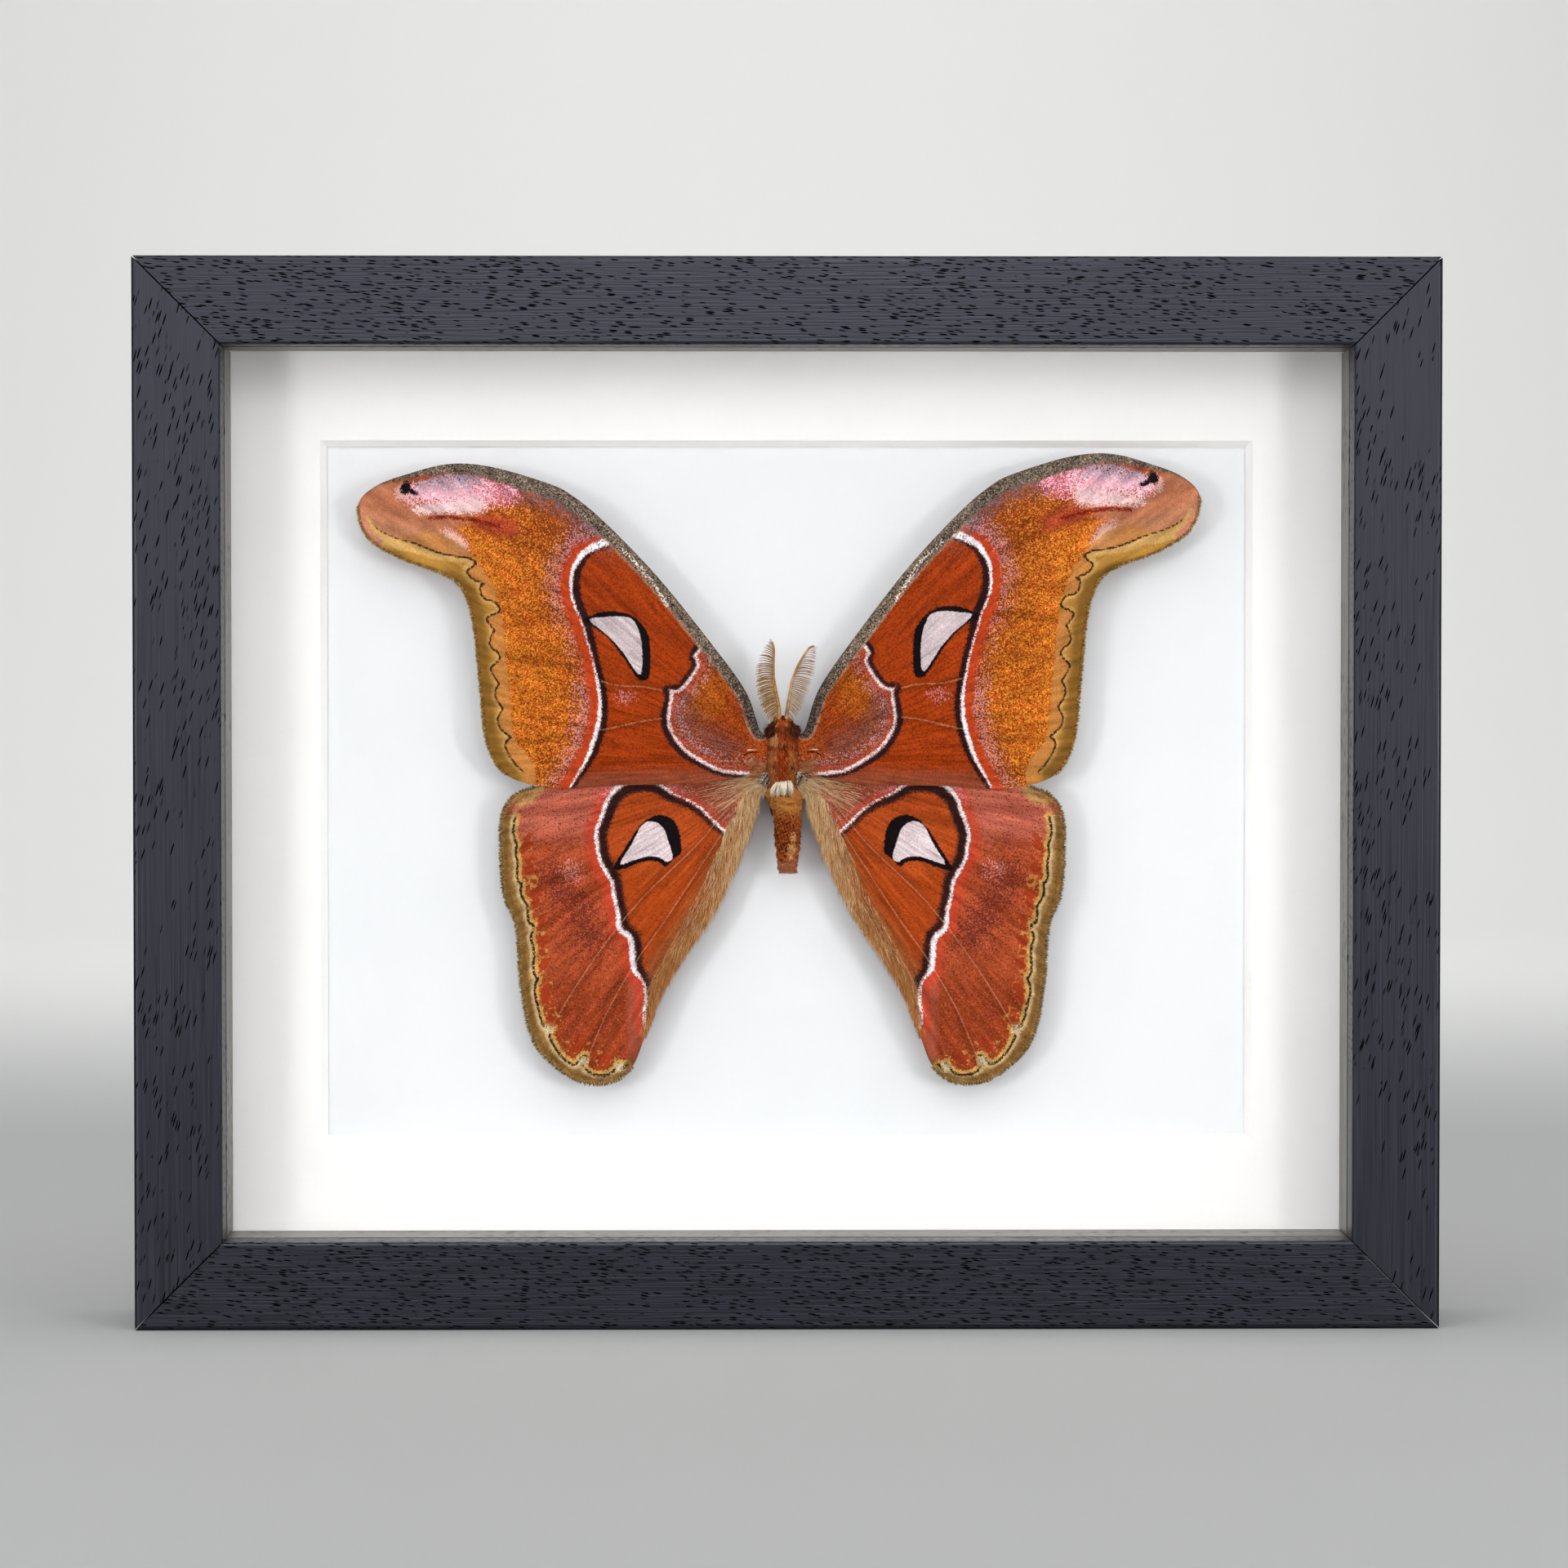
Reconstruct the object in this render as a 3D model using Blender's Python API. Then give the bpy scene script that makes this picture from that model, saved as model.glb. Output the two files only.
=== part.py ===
# Framed atlas silkmoth: a spread male moth, life size, in a black wooden box frame.
# X runs to the right, Y runs away from the viewer, Z is up. The frame stands on Z = 0,
# centred on X = 0 and Y = 0, and its glass faces -Y. Sizes are in millimetres until MM.

import math
import random

import bmesh
import bpy
from mathutils import Matrix, Vector
from mathutils.geometry import delaunay_2d_cdt

MM = 0.001
GAP = 0.3

# Frame: a moulding round a standard sheet of glass, 10 by 8 inches
GLASS_W = 254.0
GLASS_H = 203.2
GLASS_T = 2.0
MOULDING_W = 19.2
REBATE = 4.4
FRAME_D = 34.0
LIP_T = 7.0
EDGE_R = 1.1
FRAME_W = GLASS_W + 2.0 * (MOULDING_W - REBATE)
FRAME_H = GLASS_H + 2.0 * (MOULDING_W - REBATE)
FRONT_Y = -FRAME_D / 2.0
BACK_Y = FRAME_D / 2.0
CENTRE_Z = FRAME_H / 2.0

# Layers behind the lip, front to back
GLASS_Y = FRONT_Y + LIP_T + GAP
SPACER_Y = GLASS_Y + GLASS_T + GAP
SPACER_D = 12.0
SPACER_T = REBATE - GAP
MAT_Y = SPACER_Y + SPACER_D + GAP
MAT_T = 1.4
MAT_WINDOW_W = 203.2
MAT_WINDOW_H = 152.4
BACKDROP_Y = MAT_Y + MAT_T + GAP
BACKDROP_T = 3.0
PANEL_Y = BACKDROP_Y + BACKDROP_T + GAP
PANEL_T = 2.5
TAB_Y = PANEL_Y + PANEL_T + GAP
TAB_T = 0.6
TAB_W = 7.0
TAB_L = 11.0
HANGER_W = 46.0
HANGER_H = 10.0
HANGER_T = 0.8
HANGER_TEETH = 9
HANGER_DROP = 38.0

# Moth: its own axis in the frame, and the levels of its wings
MOTH_X = -1.0
MOTH_Z = 122.7
MEMBRANE_T = 0.55
FOREWING_Y = -1.95
HINDWING_Y = -0.8
TIP_DROOP = 1.2
WINGSPAN_HALF = 93.2
VEIN_W = 0.75
VEIN_H = 0.3
COSTA_H = 0.5

# Body stations from head to tail: height on the axis, half width, half depth
BODY_Y = -0.8
HEAD_STATIONS = [(10.9, 1.0, 1.2), (10.0, 2.3, 2.4), (8.4, 2.9, 3.0), (6.7, 2.7, 2.9)]
THORAX_STATIONS = [
    (6.4, 2.9, 3.1), (4.6, 3.4, 3.9), (1.8, 3.7, 4.2), (-1.4, 3.6, 4.1), (-4.0, 3.2, 3.6), (-4.8, 2.9, 3.2),
]
ABDOMEN_STATIONS = [
    (-5.1, 2.9, 3.1), (-6.6, 3.7, 3.4), (-8.8, 3.4, 3.3), (-11.5, 2.95, 3.0), (-14.2, 3.0, 2.9),
    (-17.0, 2.85, 2.7), (-19.6, 2.55, 2.45), (-22.0, 2.25, 2.1), (-24.2, 1.8, 1.6),
]
BODY_SIDES = 16
EYE_X = 2.75
EYE_Z = 8.3
EYE_R = 1.35

# Antenna: its shaft, and the two rows of rays on it
ANTENNA_ROUTE = [(1.1, 9.0), (1.3, 12.5), (1.7, 18.0), (1.9, 23.0), (2.6, 27.0)]
ANTENNA_RIGHT_LEAN = 3.4
SHAFT_R = 0.38
RAY_PAIRS = 12
RAY_LENGTH = 3.9
RAY_R = 0.27

# Wing outlines, as seen from the front, in millimetres out from the axis and up from the thorax
FOREWING = [
    (1.5, 5.5), (4.7, 6.9), (8.0, 15.7), (15.1, 25.7), (27.4, 41.0), (39.0, 53.0), (46.2, 58.9), (51.4, 61.5),
    (63.7, 65.1), (73.0, 65.8), (82.2, 63.6), (89.5, 60.8), (93.2, 56.6), (91.2, 49.8), (84.4, 45.3),
    (76.2, 42.3), (71.6, 39.8), (69.0, 35.3), (67.6, 28.2), (66.4, 15.8), (65.0, 4.5), (60.6, -2.5),
    (50.5, -5.2), (36.5, -4.7), (17.7, -4.2), (4.7, -1.9), (1.5, -1.0),
]
HINDWING = [
    (1.5, -1.6), (14.0, -0.6), (34.0, -1.0), (48.0, -2.6), (54.5, -5.1), (58.8, -6.9), (61.6, -11.0),
    (62.0, -18.7), (61.2, -28.9), (58.5, -36.0), (57.6, -48.4), (55.2, -60.1), (50.5, -66.2), (44.4, -70.0),
    (38.0, -70.2), (33.1, -66.7), (30.2, -59.6), (27.0, -50.8), (22.2, -42.7), (15.6, -32.8), (9.4, -19.7),
    (6.2, -10.4), (5.2, -7.0), (4.2, -5.6), (1.5, -4.4),
]
# How far each forewing was spread by hand: width and height against the drawn one
FOREWING_SPREAD = {"left": (1.0, 1.0), "right": (0.985, 1.035)}

FOREWING_VEINS = {
    "costa": [(7.2, 11.5), (15.4, 24.2), (27.2, 38.7), (38.6, 50.8), (50.6, 59.2), (64.0, 63.2), (78.0, 63.0)],
    "radius": [(8.2, 8.6), (17.5, 23.0), (24.7, 28.4), (34.0, 34.2), (46.0, 42.4), (60.0, 50.6), (77.0, 54.5)],
    "upper median": [(36.5, 32.4), (52.0, 38.2), (67.8, 36.6)],
    "middle median": [(35.0, 28.8), (50.0, 31.6), (66.2, 29.6)],
    "lower median": [(8.4, 5.6), (17.5, 12.9), (28.6, 16.6), (38.0, 17.6), (52.0, 22.6), (65.6, 22.2)],
    "cubital": [(8.6, 3.2), (17.5, 9.4), (28.0, 9.8), (39.0, 7.6), (52.0, 5.4), (63.4, 5.2)],
    "anal": [(9.0, 0.6), (18.0, 1.4), (32.4, 0.9), (45.0, -1.0), (57.0, -2.2)],
}
HINDWING_VEINS = {
    "costal": [(12.0, -4.6), (25.0, -7.0), (41.0, -9.4), (57.0, -10.6)],
    "radial": [(12.0, -6.6), (25.2, -9.6), (41.2, -14.4), (59.4, -19.4)],
    "upper median": [(37.5, -21.0), (47.0, -24.4), (58.6, -28.0)],
    "middle median": [(36.0, -23.4), (45.4, -29.6), (56.4, -39.0)],
    "lower median": [(11.6, -9.0), (19.0, -18.0), (30.0, -28.6), (38.0, -38.2), (45.4, -48.8), (52.0, -60.0)],
    "cubital": [(10.6, -11.2), (16.8, -20.6), (24.6, -32.6), (32.4, -43.8), (38.6, -54.6), (43.6, -66.6)],
    "anal": [(10.0, -14.0), (14.6, -24.6), (21.6, -36.6), (28.0, -46.4), (31.6, -55.6)],
}

# Long hair along the inner edge of each hindwing
LOCK_COUNT = 15
LOCK_LENGTH = 5.6
LOCK_WIDTH = 1.7
LOCK_T = 0.62

# Legs folded under the body: root, knee, ankle and tip of each pair
LEG_ROUTES = {
    "front": [(2.3, 2.1, 5.0), (3.3, 3.6, 6.6), (2.6, 4.9, 8.4), (1.2, 5.3, 9.4)],
    "middle": [(3.0, 1.9, 1.2), (6.2, 3.6, 2.6), (6.4, 4.8, -1.2), (5.2, 5.2, -4.0)],
    "hind": [(2.8, 1.9, -2.4), (4.1, 3.7, -3.6), (3.2, 4.9, -7.4), (2.0, 5.3, -11.6)],
}
LEG_R = 0.55

SUPPORT_W = 4.0
SUPPORT_H = 5.0


def clear_scene():
    for old in list(bpy.data.objects):
        bpy.data.objects.remove(old, do_unlink=True)


def make_collection(name, parent=None):
    collection = bpy.data.collections.new(name)
    (parent or bpy.context.scene.collection).children.link(collection)
    return collection


def make_material(name, colour, roughness, metallic=0.0, transmission=0.0):
    material = bpy.data.materials.new(name)
    material.use_nodes = True
    shader = material.node_tree.nodes["Principled BSDF"]
    shader.inputs["Base Color"].default_value = (*colour, 1.0)
    shader.inputs["Roughness"].default_value = roughness
    shader.inputs["Metallic"].default_value = metallic
    shader.inputs["Transmission Weight"].default_value = transmission
    material.diffuse_color = (*colour, 1.0)
    return material


def add_mesh(name, bm, material, collection, offset=(0.0, 0.0, 0.0), smooth=None):
    """Turn a bmesh drawn in millimetres into a named object placed in metres."""
    bmesh.ops.recalc_face_normals(bm, faces=bm.faces[:])
    bmesh.ops.scale(bm, vec=(MM, MM, MM), verts=bm.verts[:])
    mesh = bpy.data.meshes.new(name)
    bm.to_mesh(mesh)
    bm.free()
    if smooth is not None:
        mesh.shade_smooth()
        mesh.set_sharp_from_angle(angle=math.radians(smooth))
    part = bpy.data.objects.new(name, mesh)
    part.location = Vector(offset) * MM
    collection.objects.link(part)
    if material:
        mesh.materials.append(material)
    return part


def make_cutter(part, collection):
    part.hide_render = True
    part.display_type = "WIRE"
    for owner in list(part.users_collection):
        owner.objects.unlink(part)
    collection.objects.link(part)
    return part


def cut(part, cutter):
    modifier = part.modifiers.new("clearance", "BOOLEAN")
    modifier.operation = "DIFFERENCE"
    modifier.object = cutter
    return modifier


def keep_largest_surface(part):
    """Keep the largest closed surface, so that the node stays one body."""
    bm = bmesh.new()
    bm.from_mesh(part.data)
    seen = set()
    groups = []
    for start in bm.verts:
        if start in seen:
            continue
        group = [start]
        seen.add(start)
        for vert in group:
            for edge in vert.link_edges:
                other = edge.other_vert(vert)
                if other not in seen:
                    seen.add(other)
                    group.append(other)
        groups.append(group)
    groups.sort(key=len)
    for group in groups[:-1]:
        bmesh.ops.delete(bm, geom=group, context="VERTS")
    bm.to_mesh(part.data)
    bm.free()


def apply_modifiers(part):
    """Bake the modifiers into the mesh, and keep one closed surface of it."""
    depsgraph = bpy.context.evaluated_depsgraph_get()
    baked = bpy.data.meshes.new_from_object(part.evaluated_get(depsgraph))
    part.modifiers.clear()
    part.data = baked
    keep_largest_surface(part)


def fuse(part, pieces, collection):
    """Join the pieces to the part by one union, then remove them."""
    group = make_collection(part.name + "_pieces", collection)
    for piece in pieces:
        make_cutter(piece, group)
    modifier = part.modifiers.new("fused", "BOOLEAN")
    modifier.operation = "UNION"
    modifier.operand_type = "COLLECTION"
    modifier.collection = group
    apply_modifiers(part)
    for piece in pieces:
        bpy.data.objects.remove(piece, do_unlink=True)
    bpy.data.collections.remove(group)


def smooth_points(points, steps, closed=False):
    """Read a smooth curve through the points, with so many steps for each span."""
    count = len(points)
    spans = count if closed else count - 1
    result = []
    for i in range(spans):
        if closed:
            p0, p1, p2, p3 = (Vector(points[(i + k - 1) % count]) for k in range(4))
        else:
            p1, p2 = Vector(points[i]), Vector(points[i + 1])
            p0 = Vector(points[i - 1]) if i > 0 else p1 * 2.0 - p2
            p3 = Vector(points[i + 2]) if i + 2 < count else p2 * 2.0 - p1
        for s in range(steps):
            t = s / steps
            a = (p1 * 2.0) + (p2 - p0) * t
            b = (p0 * 2.0 - p1 * 5.0 + p2 * 4.0 - p3) * t * t
            c = (p1 * 3.0 - p0 - p2 * 3.0 + p3) * t * t * t
            result.append((a + b + c) * 0.5)
    if not closed:
        result.append(Vector(points[-1]))
    return result


def box(name, size, centre, material, collection):
    bm = bmesh.new()
    bmesh.ops.create_cube(bm, size=1.0)
    bmesh.ops.scale(bm, vec=size, verts=bm.verts[:])
    bmesh.ops.translate(bm, vec=centre, verts=bm.verts[:])
    return add_mesh(name, bm, material, collection)


def rail_profile():
    """Section of the moulding: inset from the outer edge, and depth."""
    points = [(0.0, BACK_Y)]
    steps = 3
    for i in range(steps + 1):
        angle = math.pi / 2.0 * i / steps
        points.append((EDGE_R - EDGE_R * math.cos(angle), FRONT_Y + EDGE_R - EDGE_R * math.sin(angle)))
    for i in range(steps + 1):
        angle = math.pi / 2.0 * i / steps
        radius = EDGE_R * 0.6
        inset = MOULDING_W - radius + radius * math.sin(angle)
        points.append((inset, FRONT_Y + radius - radius * math.cos(angle)))
    points.append((MOULDING_W, FRONT_Y + LIP_T))
    points.append((MOULDING_W - REBATE, FRONT_Y + LIP_T))
    points.append((MOULDING_W - REBATE, BACK_Y))
    return points


def make_rail(name, side, material, collection):
    """One length of moulding with mitred ends; side is its outward direction."""
    outward = Vector((side[0], 0.0, side[1]))
    along = Vector((side[1], 0.0, -side[0]))
    half_length = FRAME_W / 2.0 if side[1] else FRAME_H / 2.0
    half_out = FRAME_H / 2.0 if side[1] else FRAME_W / 2.0
    mitre_gap = GAP / 2.0 * math.sqrt(2.0)
    centre = Vector((0.0, 0.0, CENTRE_Z))
    bm = bmesh.new()
    ends = []
    for sign in (-1.0, 1.0):
        verts = []
        for inset, depth in rail_profile():
            reach = half_length - inset - mitre_gap
            place = centre + outward * (half_out - inset) + along * (sign * reach)
            verts.append(bm.verts.new((place.x, depth, place.z)))
        ends.append(bm.faces.new(verts))
    bm.edges.ensure_lookup_table()
    bmesh.ops.bridge_loops(bm, edges=list(ends[0].edges) + list(ends[1].edges))
    return add_mesh(name, bm, material, collection, smooth=40.0)


def make_spacers(material, collection):
    """Four strips that keep the glass off the mat, butted at the corners."""
    inner_w = GLASS_W - GAP * 2.0
    inner_h = GLASS_H - GAP * 2.0
    middle_y = SPACER_Y + SPACER_D / 2.0
    for name, sign in (("spacer_top", 1.0), ("spacer_bottom", -1.0)):
        z = CENTRE_Z + sign * (inner_h - SPACER_T) / 2.0
        box(name, (inner_w, SPACER_D, SPACER_T), (0.0, middle_y, z), material, collection)
    side_h = inner_h - 2.0 * (SPACER_T + GAP)
    for name, sign in (("spacer_right", 1.0), ("spacer_left", -1.0)):
        x = sign * (inner_w - SPACER_T) / 2.0
        box(name, (SPACER_T, SPACER_D, side_h), (x, middle_y, CENTRE_Z), material, collection)


def make_mat(material, collection, cutters):
    """White board with a window whose edge is cut at 45 degrees."""
    size = (GLASS_W - GAP * 2.0, MAT_T, GLASS_H - GAP * 2.0)
    mat = box("window_mat", size, (0.0, MAT_Y + MAT_T / 2.0, CENTRE_Z), material, collection)
    bm = bmesh.new()
    margin = 1.0
    ends = []
    for depth, grow in ((-margin, MAT_T + margin), (MAT_T + margin, -margin)):
        half_w = MAT_WINDOW_W / 2.0 + grow
        half_h = MAT_WINDOW_H / 2.0 + grow
        corners = [(-half_w, -half_h), (half_w, -half_h), (half_w, half_h), (-half_w, half_h)]
        verts = [bm.verts.new((x, MAT_Y + depth, CENTRE_Z + z)) for x, z in corners]
        ends.append(bm.faces.new(verts))
    bmesh.ops.bridge_loops(bm, edges=list(ends[0].edges) + list(ends[1].edges))
    cutter = make_cutter(add_mesh("mat_window", bm, None, collection), cutters)
    cut(mat, cutter)
    return mat


def flat_plate(name, outline, thickness, placement, material, collection):
    """A plate cut to an outline: a filled 2D curve with a thickness, welded shut."""
    curve = bpy.data.curves.new(name, "CURVE")
    curve.dimensions = "2D"
    curve.fill_mode = "BOTH"
    curve.extrude = thickness / 2.0
    spline = curve.splines.new("POLY")
    spline.points.add(len(outline) - 1)
    for point, (x, y) in zip(spline.points, outline):
        point.co = (x, y, 0.0, 1.0)
    spline.use_cyclic_u = True
    drawn = bpy.data.objects.new(name + "_curve", curve)
    collection.objects.link(drawn)
    depsgraph = bpy.context.evaluated_depsgraph_get()
    mesh = bpy.data.meshes.new_from_object(drawn.evaluated_get(depsgraph))
    bpy.data.objects.remove(drawn, do_unlink=True)
    bm = bmesh.new()
    bm.from_mesh(mesh)
    bmesh.ops.remove_doubles(bm, verts=bm.verts[:], dist=0.001)
    bmesh.ops.transform(bm, matrix=placement, verts=bm.verts[:])
    return add_mesh(name, bm, material, collection)


def make_point_tabs(material, collection):
    """Thin steel points shot into the rebate, which hold the back panel in."""
    half_w = FRAME_W / 2.0 - (MOULDING_W - REBATE) - GAP
    half_h = FRAME_H / 2.0 - (MOULDING_W - REBATE) - GAP
    stations = []
    for x in (-84.0, 0.0, 84.0):
        stations.append(((x, half_h), 180.0))
        stations.append(((x, -half_h), 0.0))
    for z in (-52.0, 52.0):
        stations.append(((half_w, z), 90.0))
        stations.append(((-half_w, z), -90.0))
    half = TAB_W / 2.0
    outline = [(-half, 0.0), (half, 0.0), (half, TAB_L * 0.6)]
    outline += [(half * 0.35, TAB_L), (-half * 0.35, TAB_L), (-half, TAB_L * 0.6)]
    upright = Matrix.Rotation(math.pi / 2.0, 4, "X")
    for number, ((x, z), turn) in enumerate(stations, start=1):
        place = Matrix.Translation((x, TAB_Y + TAB_T / 2.0, CENTRE_Z + z))
        turned = place @ Matrix.Rotation(math.radians(-turn), 4, "Y") @ upright
        flat_plate(f"point_tab_{number:02d}", outline, TAB_T, turned, material, collection)


def make_hanger(material, collection):
    """Pressed steel hanger with a toothed lower edge, on the back panel."""
    half = HANGER_W / 2.0
    outline = [(-half, HANGER_H), (-half, 2.0), (-half * 0.7, 0.0)]
    pitch = half * 1.4 / HANGER_TEETH
    for i in range(HANGER_TEETH):
        left = -half * 0.7 + pitch * i
        outline.append((left + pitch * 0.5, 1.6))
        outline.append((left + pitch, 0.0))
    outline += [(half, 2.0), (half, HANGER_H)]
    z = CENTRE_Z + GLASS_H / 2.0 - HANGER_DROP
    upright = Matrix.Rotation(math.pi / 2.0, 4, "X")
    place = Matrix.Translation((0.0, PANEL_Y + PANEL_T + GAP + HANGER_T / 2.0, z)) @ upright
    return flat_plate("hanger_plate", outline, HANGER_T, place, material, collection)


def loft(name, stations, centre_y, grow, material, collection):
    """A closed body through oval rings, each at its height on the moth's axis."""
    bm = bmesh.new()
    rings = []
    for height, half_w, half_d in stations:
        made = bmesh.ops.create_circle(bm, segments=BODY_SIDES, radius=1.0)
        for vert in made["verts"]:
            x, y = vert.co.x, vert.co.y
            vert.co = (MOTH_X + x * (half_w + grow), centre_y + y * (half_d + grow), MOTH_Z + height)
        rings.append(made["verts"])
    for ring in (rings[0], rings[-1]):
        bm.faces.new(ring)
    bmesh.ops.bridge_loops(bm, edges=bm.edges[:])
    return add_mesh(name, bm, material, collection, smooth=60.0)


def grown_stations(stations, grow):
    """The same stations with the two ends moved outwards by the gap."""
    ends = list(stations)
    ends[0] = (ends[0][0] + grow, ends[0][1], ends[0][2])
    ends[-1] = (ends[-1][0] - grow, ends[-1][1], ends[-1][2])
    return ends


def ball(name, centre, radii, material, collection, segments=16, rings=10):
    bm = bmesh.new()
    bmesh.ops.create_uvsphere(bm, u_segments=segments, v_segments=rings, radius=1.0)
    bmesh.ops.scale(bm, vec=radii, verts=bm.verts[:])
    bmesh.ops.translate(bm, vec=centre, verts=bm.verts[:])
    return add_mesh(name, bm, material, collection, smooth=60.0)


def tube(name, route, radii, sides, material, collection):
    """A closed tapering tube along a route of points, in millimetres."""
    bm = bmesh.new()
    rings = []
    side = Vector((0.0, 1.0, 0.0))
    for i, point in enumerate(route):
        before = route[max(i - 1, 0)]
        after = route[min(i + 1, len(route) - 1)]
        forward = (after - before).normalized()
        across = forward.cross(side)
        if across.length < 0.1:
            across = forward.cross(Vector((1.0, 0.0, 0.0)))
        across.normalize()
        side = across.cross(forward).normalized()
        ring = []
        for k in range(sides):
            angle = 2.0 * math.pi * k / sides
            ring.append(bm.verts.new(point + (across * math.cos(angle) + side * math.sin(angle)) * radii[i]))
        rings.append(ring)
    for lower, upper in zip(rings, rings[1:]):
        for k in range(sides):
            bm.faces.new((lower[k], lower[(k + 1) % sides], upper[(k + 1) % sides], upper[k]))
    bm.faces.new(rings[0])
    bm.faces.new(rings[-1])
    return add_mesh(name, bm, material, collection, smooth=60.0)


def point_to_line(point, line):
    """Shortest distance from a point to a chain of points in the wing's plane."""
    best = 1e9
    for a, b in zip(line, line[1:]):
        run = b - a
        t = max(0.0, min(1.0, (point - a).dot(run) / max(run.length_squared, 1e-9)))
        best = min(best, (point - a - run * t).length)
    return best


def inside(point, outline):
    """True where the point lies within the closed outline."""
    hit = False
    for a, b in zip(outline, outline[1:] + outline[:1]):
        if (a.y > point.y) != (b.y > point.y):
            if point.x < (b.x - a.x) * (point.y - a.y) / (b.y - a.y) + a.x:
                hit = not hit
    return hit


def offset_line(line, distance):
    """A line beside the given one, at a set distance to its left."""
    result = []
    for i, point in enumerate(line):
        run = line[min(i + 1, len(line) - 1)] - line[max(i - 1, 0)]
        run.normalize()
        result.append(point + Vector((-run.y, run.x)) * distance)
    return result


def wing_depth(x, z, level):
    """Depth of the membrane's middle: level at the root, drooping to the tip."""
    return level + TIP_DROOP * (x / WINGSPAN_HALF) ** 2


def wing_sheet(name, outline, veins, level, sign, spread, material, collection):
    """A thin membrane cut to its outline, with the veins raised in its front face."""
    edge = smooth_points(outline, 2, closed=True)
    lines = {key: smooth_points(points, 2) for key, points in veins.items()}
    points = [point.copy() for point in edge]
    loop = list(range(len(points)))
    links = []

    def add_line(line):
        previous = None
        for point in line:
            if inside(point, edge) and point_to_line(point, edge + edge[:1]) > 0.35:
                points.append(point)
                if previous is not None:
                    links.append((previous, len(points) - 1))
                previous = len(points) - 1
            else:
                previous = None

    for line in lines.values():
        add_line(line)
        add_line(offset_line(line, VEIN_W))
        add_line(offset_line(line, -VEIN_W))
    pitch = 9.0
    for i in range(-1, 12):
        for j in range(-9, 9):
            spot = Vector((pitch * (i + 0.5 * (j % 2)), pitch * 0.87 * j))
            clear = min([point_to_line(spot, line) for line in lines.values()] + [1e9])
            if inside(spot, edge) and point_to_line(spot, edge + edge[:1]) > 3.0 and clear > 3.0:
                points.append(spot)
    flat, _, triangles, _, _, _ = delaunay_2d_cdt(points, links, [loop], 1, 1e-4)
    bm = bmesh.new()
    sheet = [bm.verts.new((point.x, 0.0, point.y)) for point in flat]
    for triangle in triangles:
        bm.faces.new([sheet[k] for k in triangle])
    bmesh.ops.remove_doubles(bm, verts=bm.verts[:], dist=0.08)
    bmesh.ops.triangulate(bm, faces=bm.faces[:])
    back = list(bm.verts)
    grown = bmesh.ops.extrude_face_region(bm, geom=bm.faces[:], use_keep_orig=True)
    front = [item for item in grown["geom"] if isinstance(item, bmesh.types.BMVert)]
    for vert in front:
        flat_point = Vector((vert.co.x, vert.co.z))
        rise = 0.0
        for key, line in lines.items():
            height = COSTA_H if key == "costa" else VEIN_H
            rise = max(rise, height * (1.0 - point_to_line(flat_point, line) / VEIN_W))
        vert.co.y = wing_depth(flat_point.x, flat_point.y, level) - MEMBRANE_T / 2.0 - rise
    for vert in back:
        vert.co.y = wing_depth(vert.co.x, vert.co.z, level) + MEMBRANE_T / 2.0
    for vert in bm.verts:
        vert.co.x = MOTH_X + sign * vert.co.x * spread[0]
        vert.co.z = MOTH_Z + vert.co.z * spread[1]
    return add_mesh(name, bm, material, collection, smooth=50.0)


def inner_edge_route():
    """The hindwing's inner edge, from its lower end up to the root."""
    edge = smooth_points(HINDWING, 4, closed=True)
    start = 4 * HINDWING.index((27.0, -50.8))
    stop = 4 * HINDWING.index((5.2, -7.0))
    return edge[start:stop + 1]


def make_locks(sign, level, collection, rng):
    """Flat tapered locks of hair that lie along the hindwing's inner edge."""
    route = inner_edge_route()
    locks = []
    for i in range(LOCK_COUNT):
        share = 0.12 + 0.86 * i / (LOCK_COUNT - 1)
        spot = share * (len(route) - 1)
        low = min(int(spot), len(route) - 2)
        base = route[low].lerp(route[low + 1], spot - low)
        up = (route[low + 1] - route[low]).normalized()
        outward = Vector((up.y, -up.x))
        if outward.x < 0.0:
            outward = -outward
        length = LOCK_LENGTH * rng.uniform(0.85, 1.1)
        root = base + outward * 1.9 + up * length * 0.5
        tip = base - outward * rng.uniform(0.2, 0.7) - up * length * 0.55
        middle = root.lerp(tip, 0.5) + outward * 0.45
        half = LOCK_WIDTH / 2.0 * rng.uniform(0.9, 1.05)
        bm = bmesh.new()
        rings = []
        for t, width in ((0.0, 0.55), (0.35, 1.0), (0.7, 0.75), (1.0, 0.16)):
            point = root * (1 - t) ** 2 + middle * 2 * t * (1 - t) + tip * t * t
            run = ((middle - root) * (1 - t) + (tip - middle) * t).normalized()
            across = Vector((-run.y, run.x)) * half * width
            front = wing_depth(point.x, point.y, level) - MEMBRANE_T / 2.0 - LOCK_T * 0.45 * (1.0 - 0.5 * t)
            back = front + LOCK_T * (1.0 - 0.35 * t)
            crown = front - 0.16
            left, right = point + across, point - across
            corners = [(left, back), (left, front), (point, crown), (right, front), (right, back)]
            ring = []
            for place, depth in corners:
                ring.append(bm.verts.new((MOTH_X + sign * place.x, depth, MOTH_Z + place.y)))
            rings.append(ring)
        for lower, upper in zip(rings, rings[1:]):
            for k in range(5):
                bm.faces.new((lower[k], lower[(k + 1) % 5], upper[(k + 1) % 5], upper[k]))
        bm.faces.new(rings[0])
        bm.faces.new(rings[-1])
        bmesh.ops.triangulate(bm, faces=bm.faces[:])
        locks.append(add_mesh(f"lock_{i}", bm, None, collection))
    return locks


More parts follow.
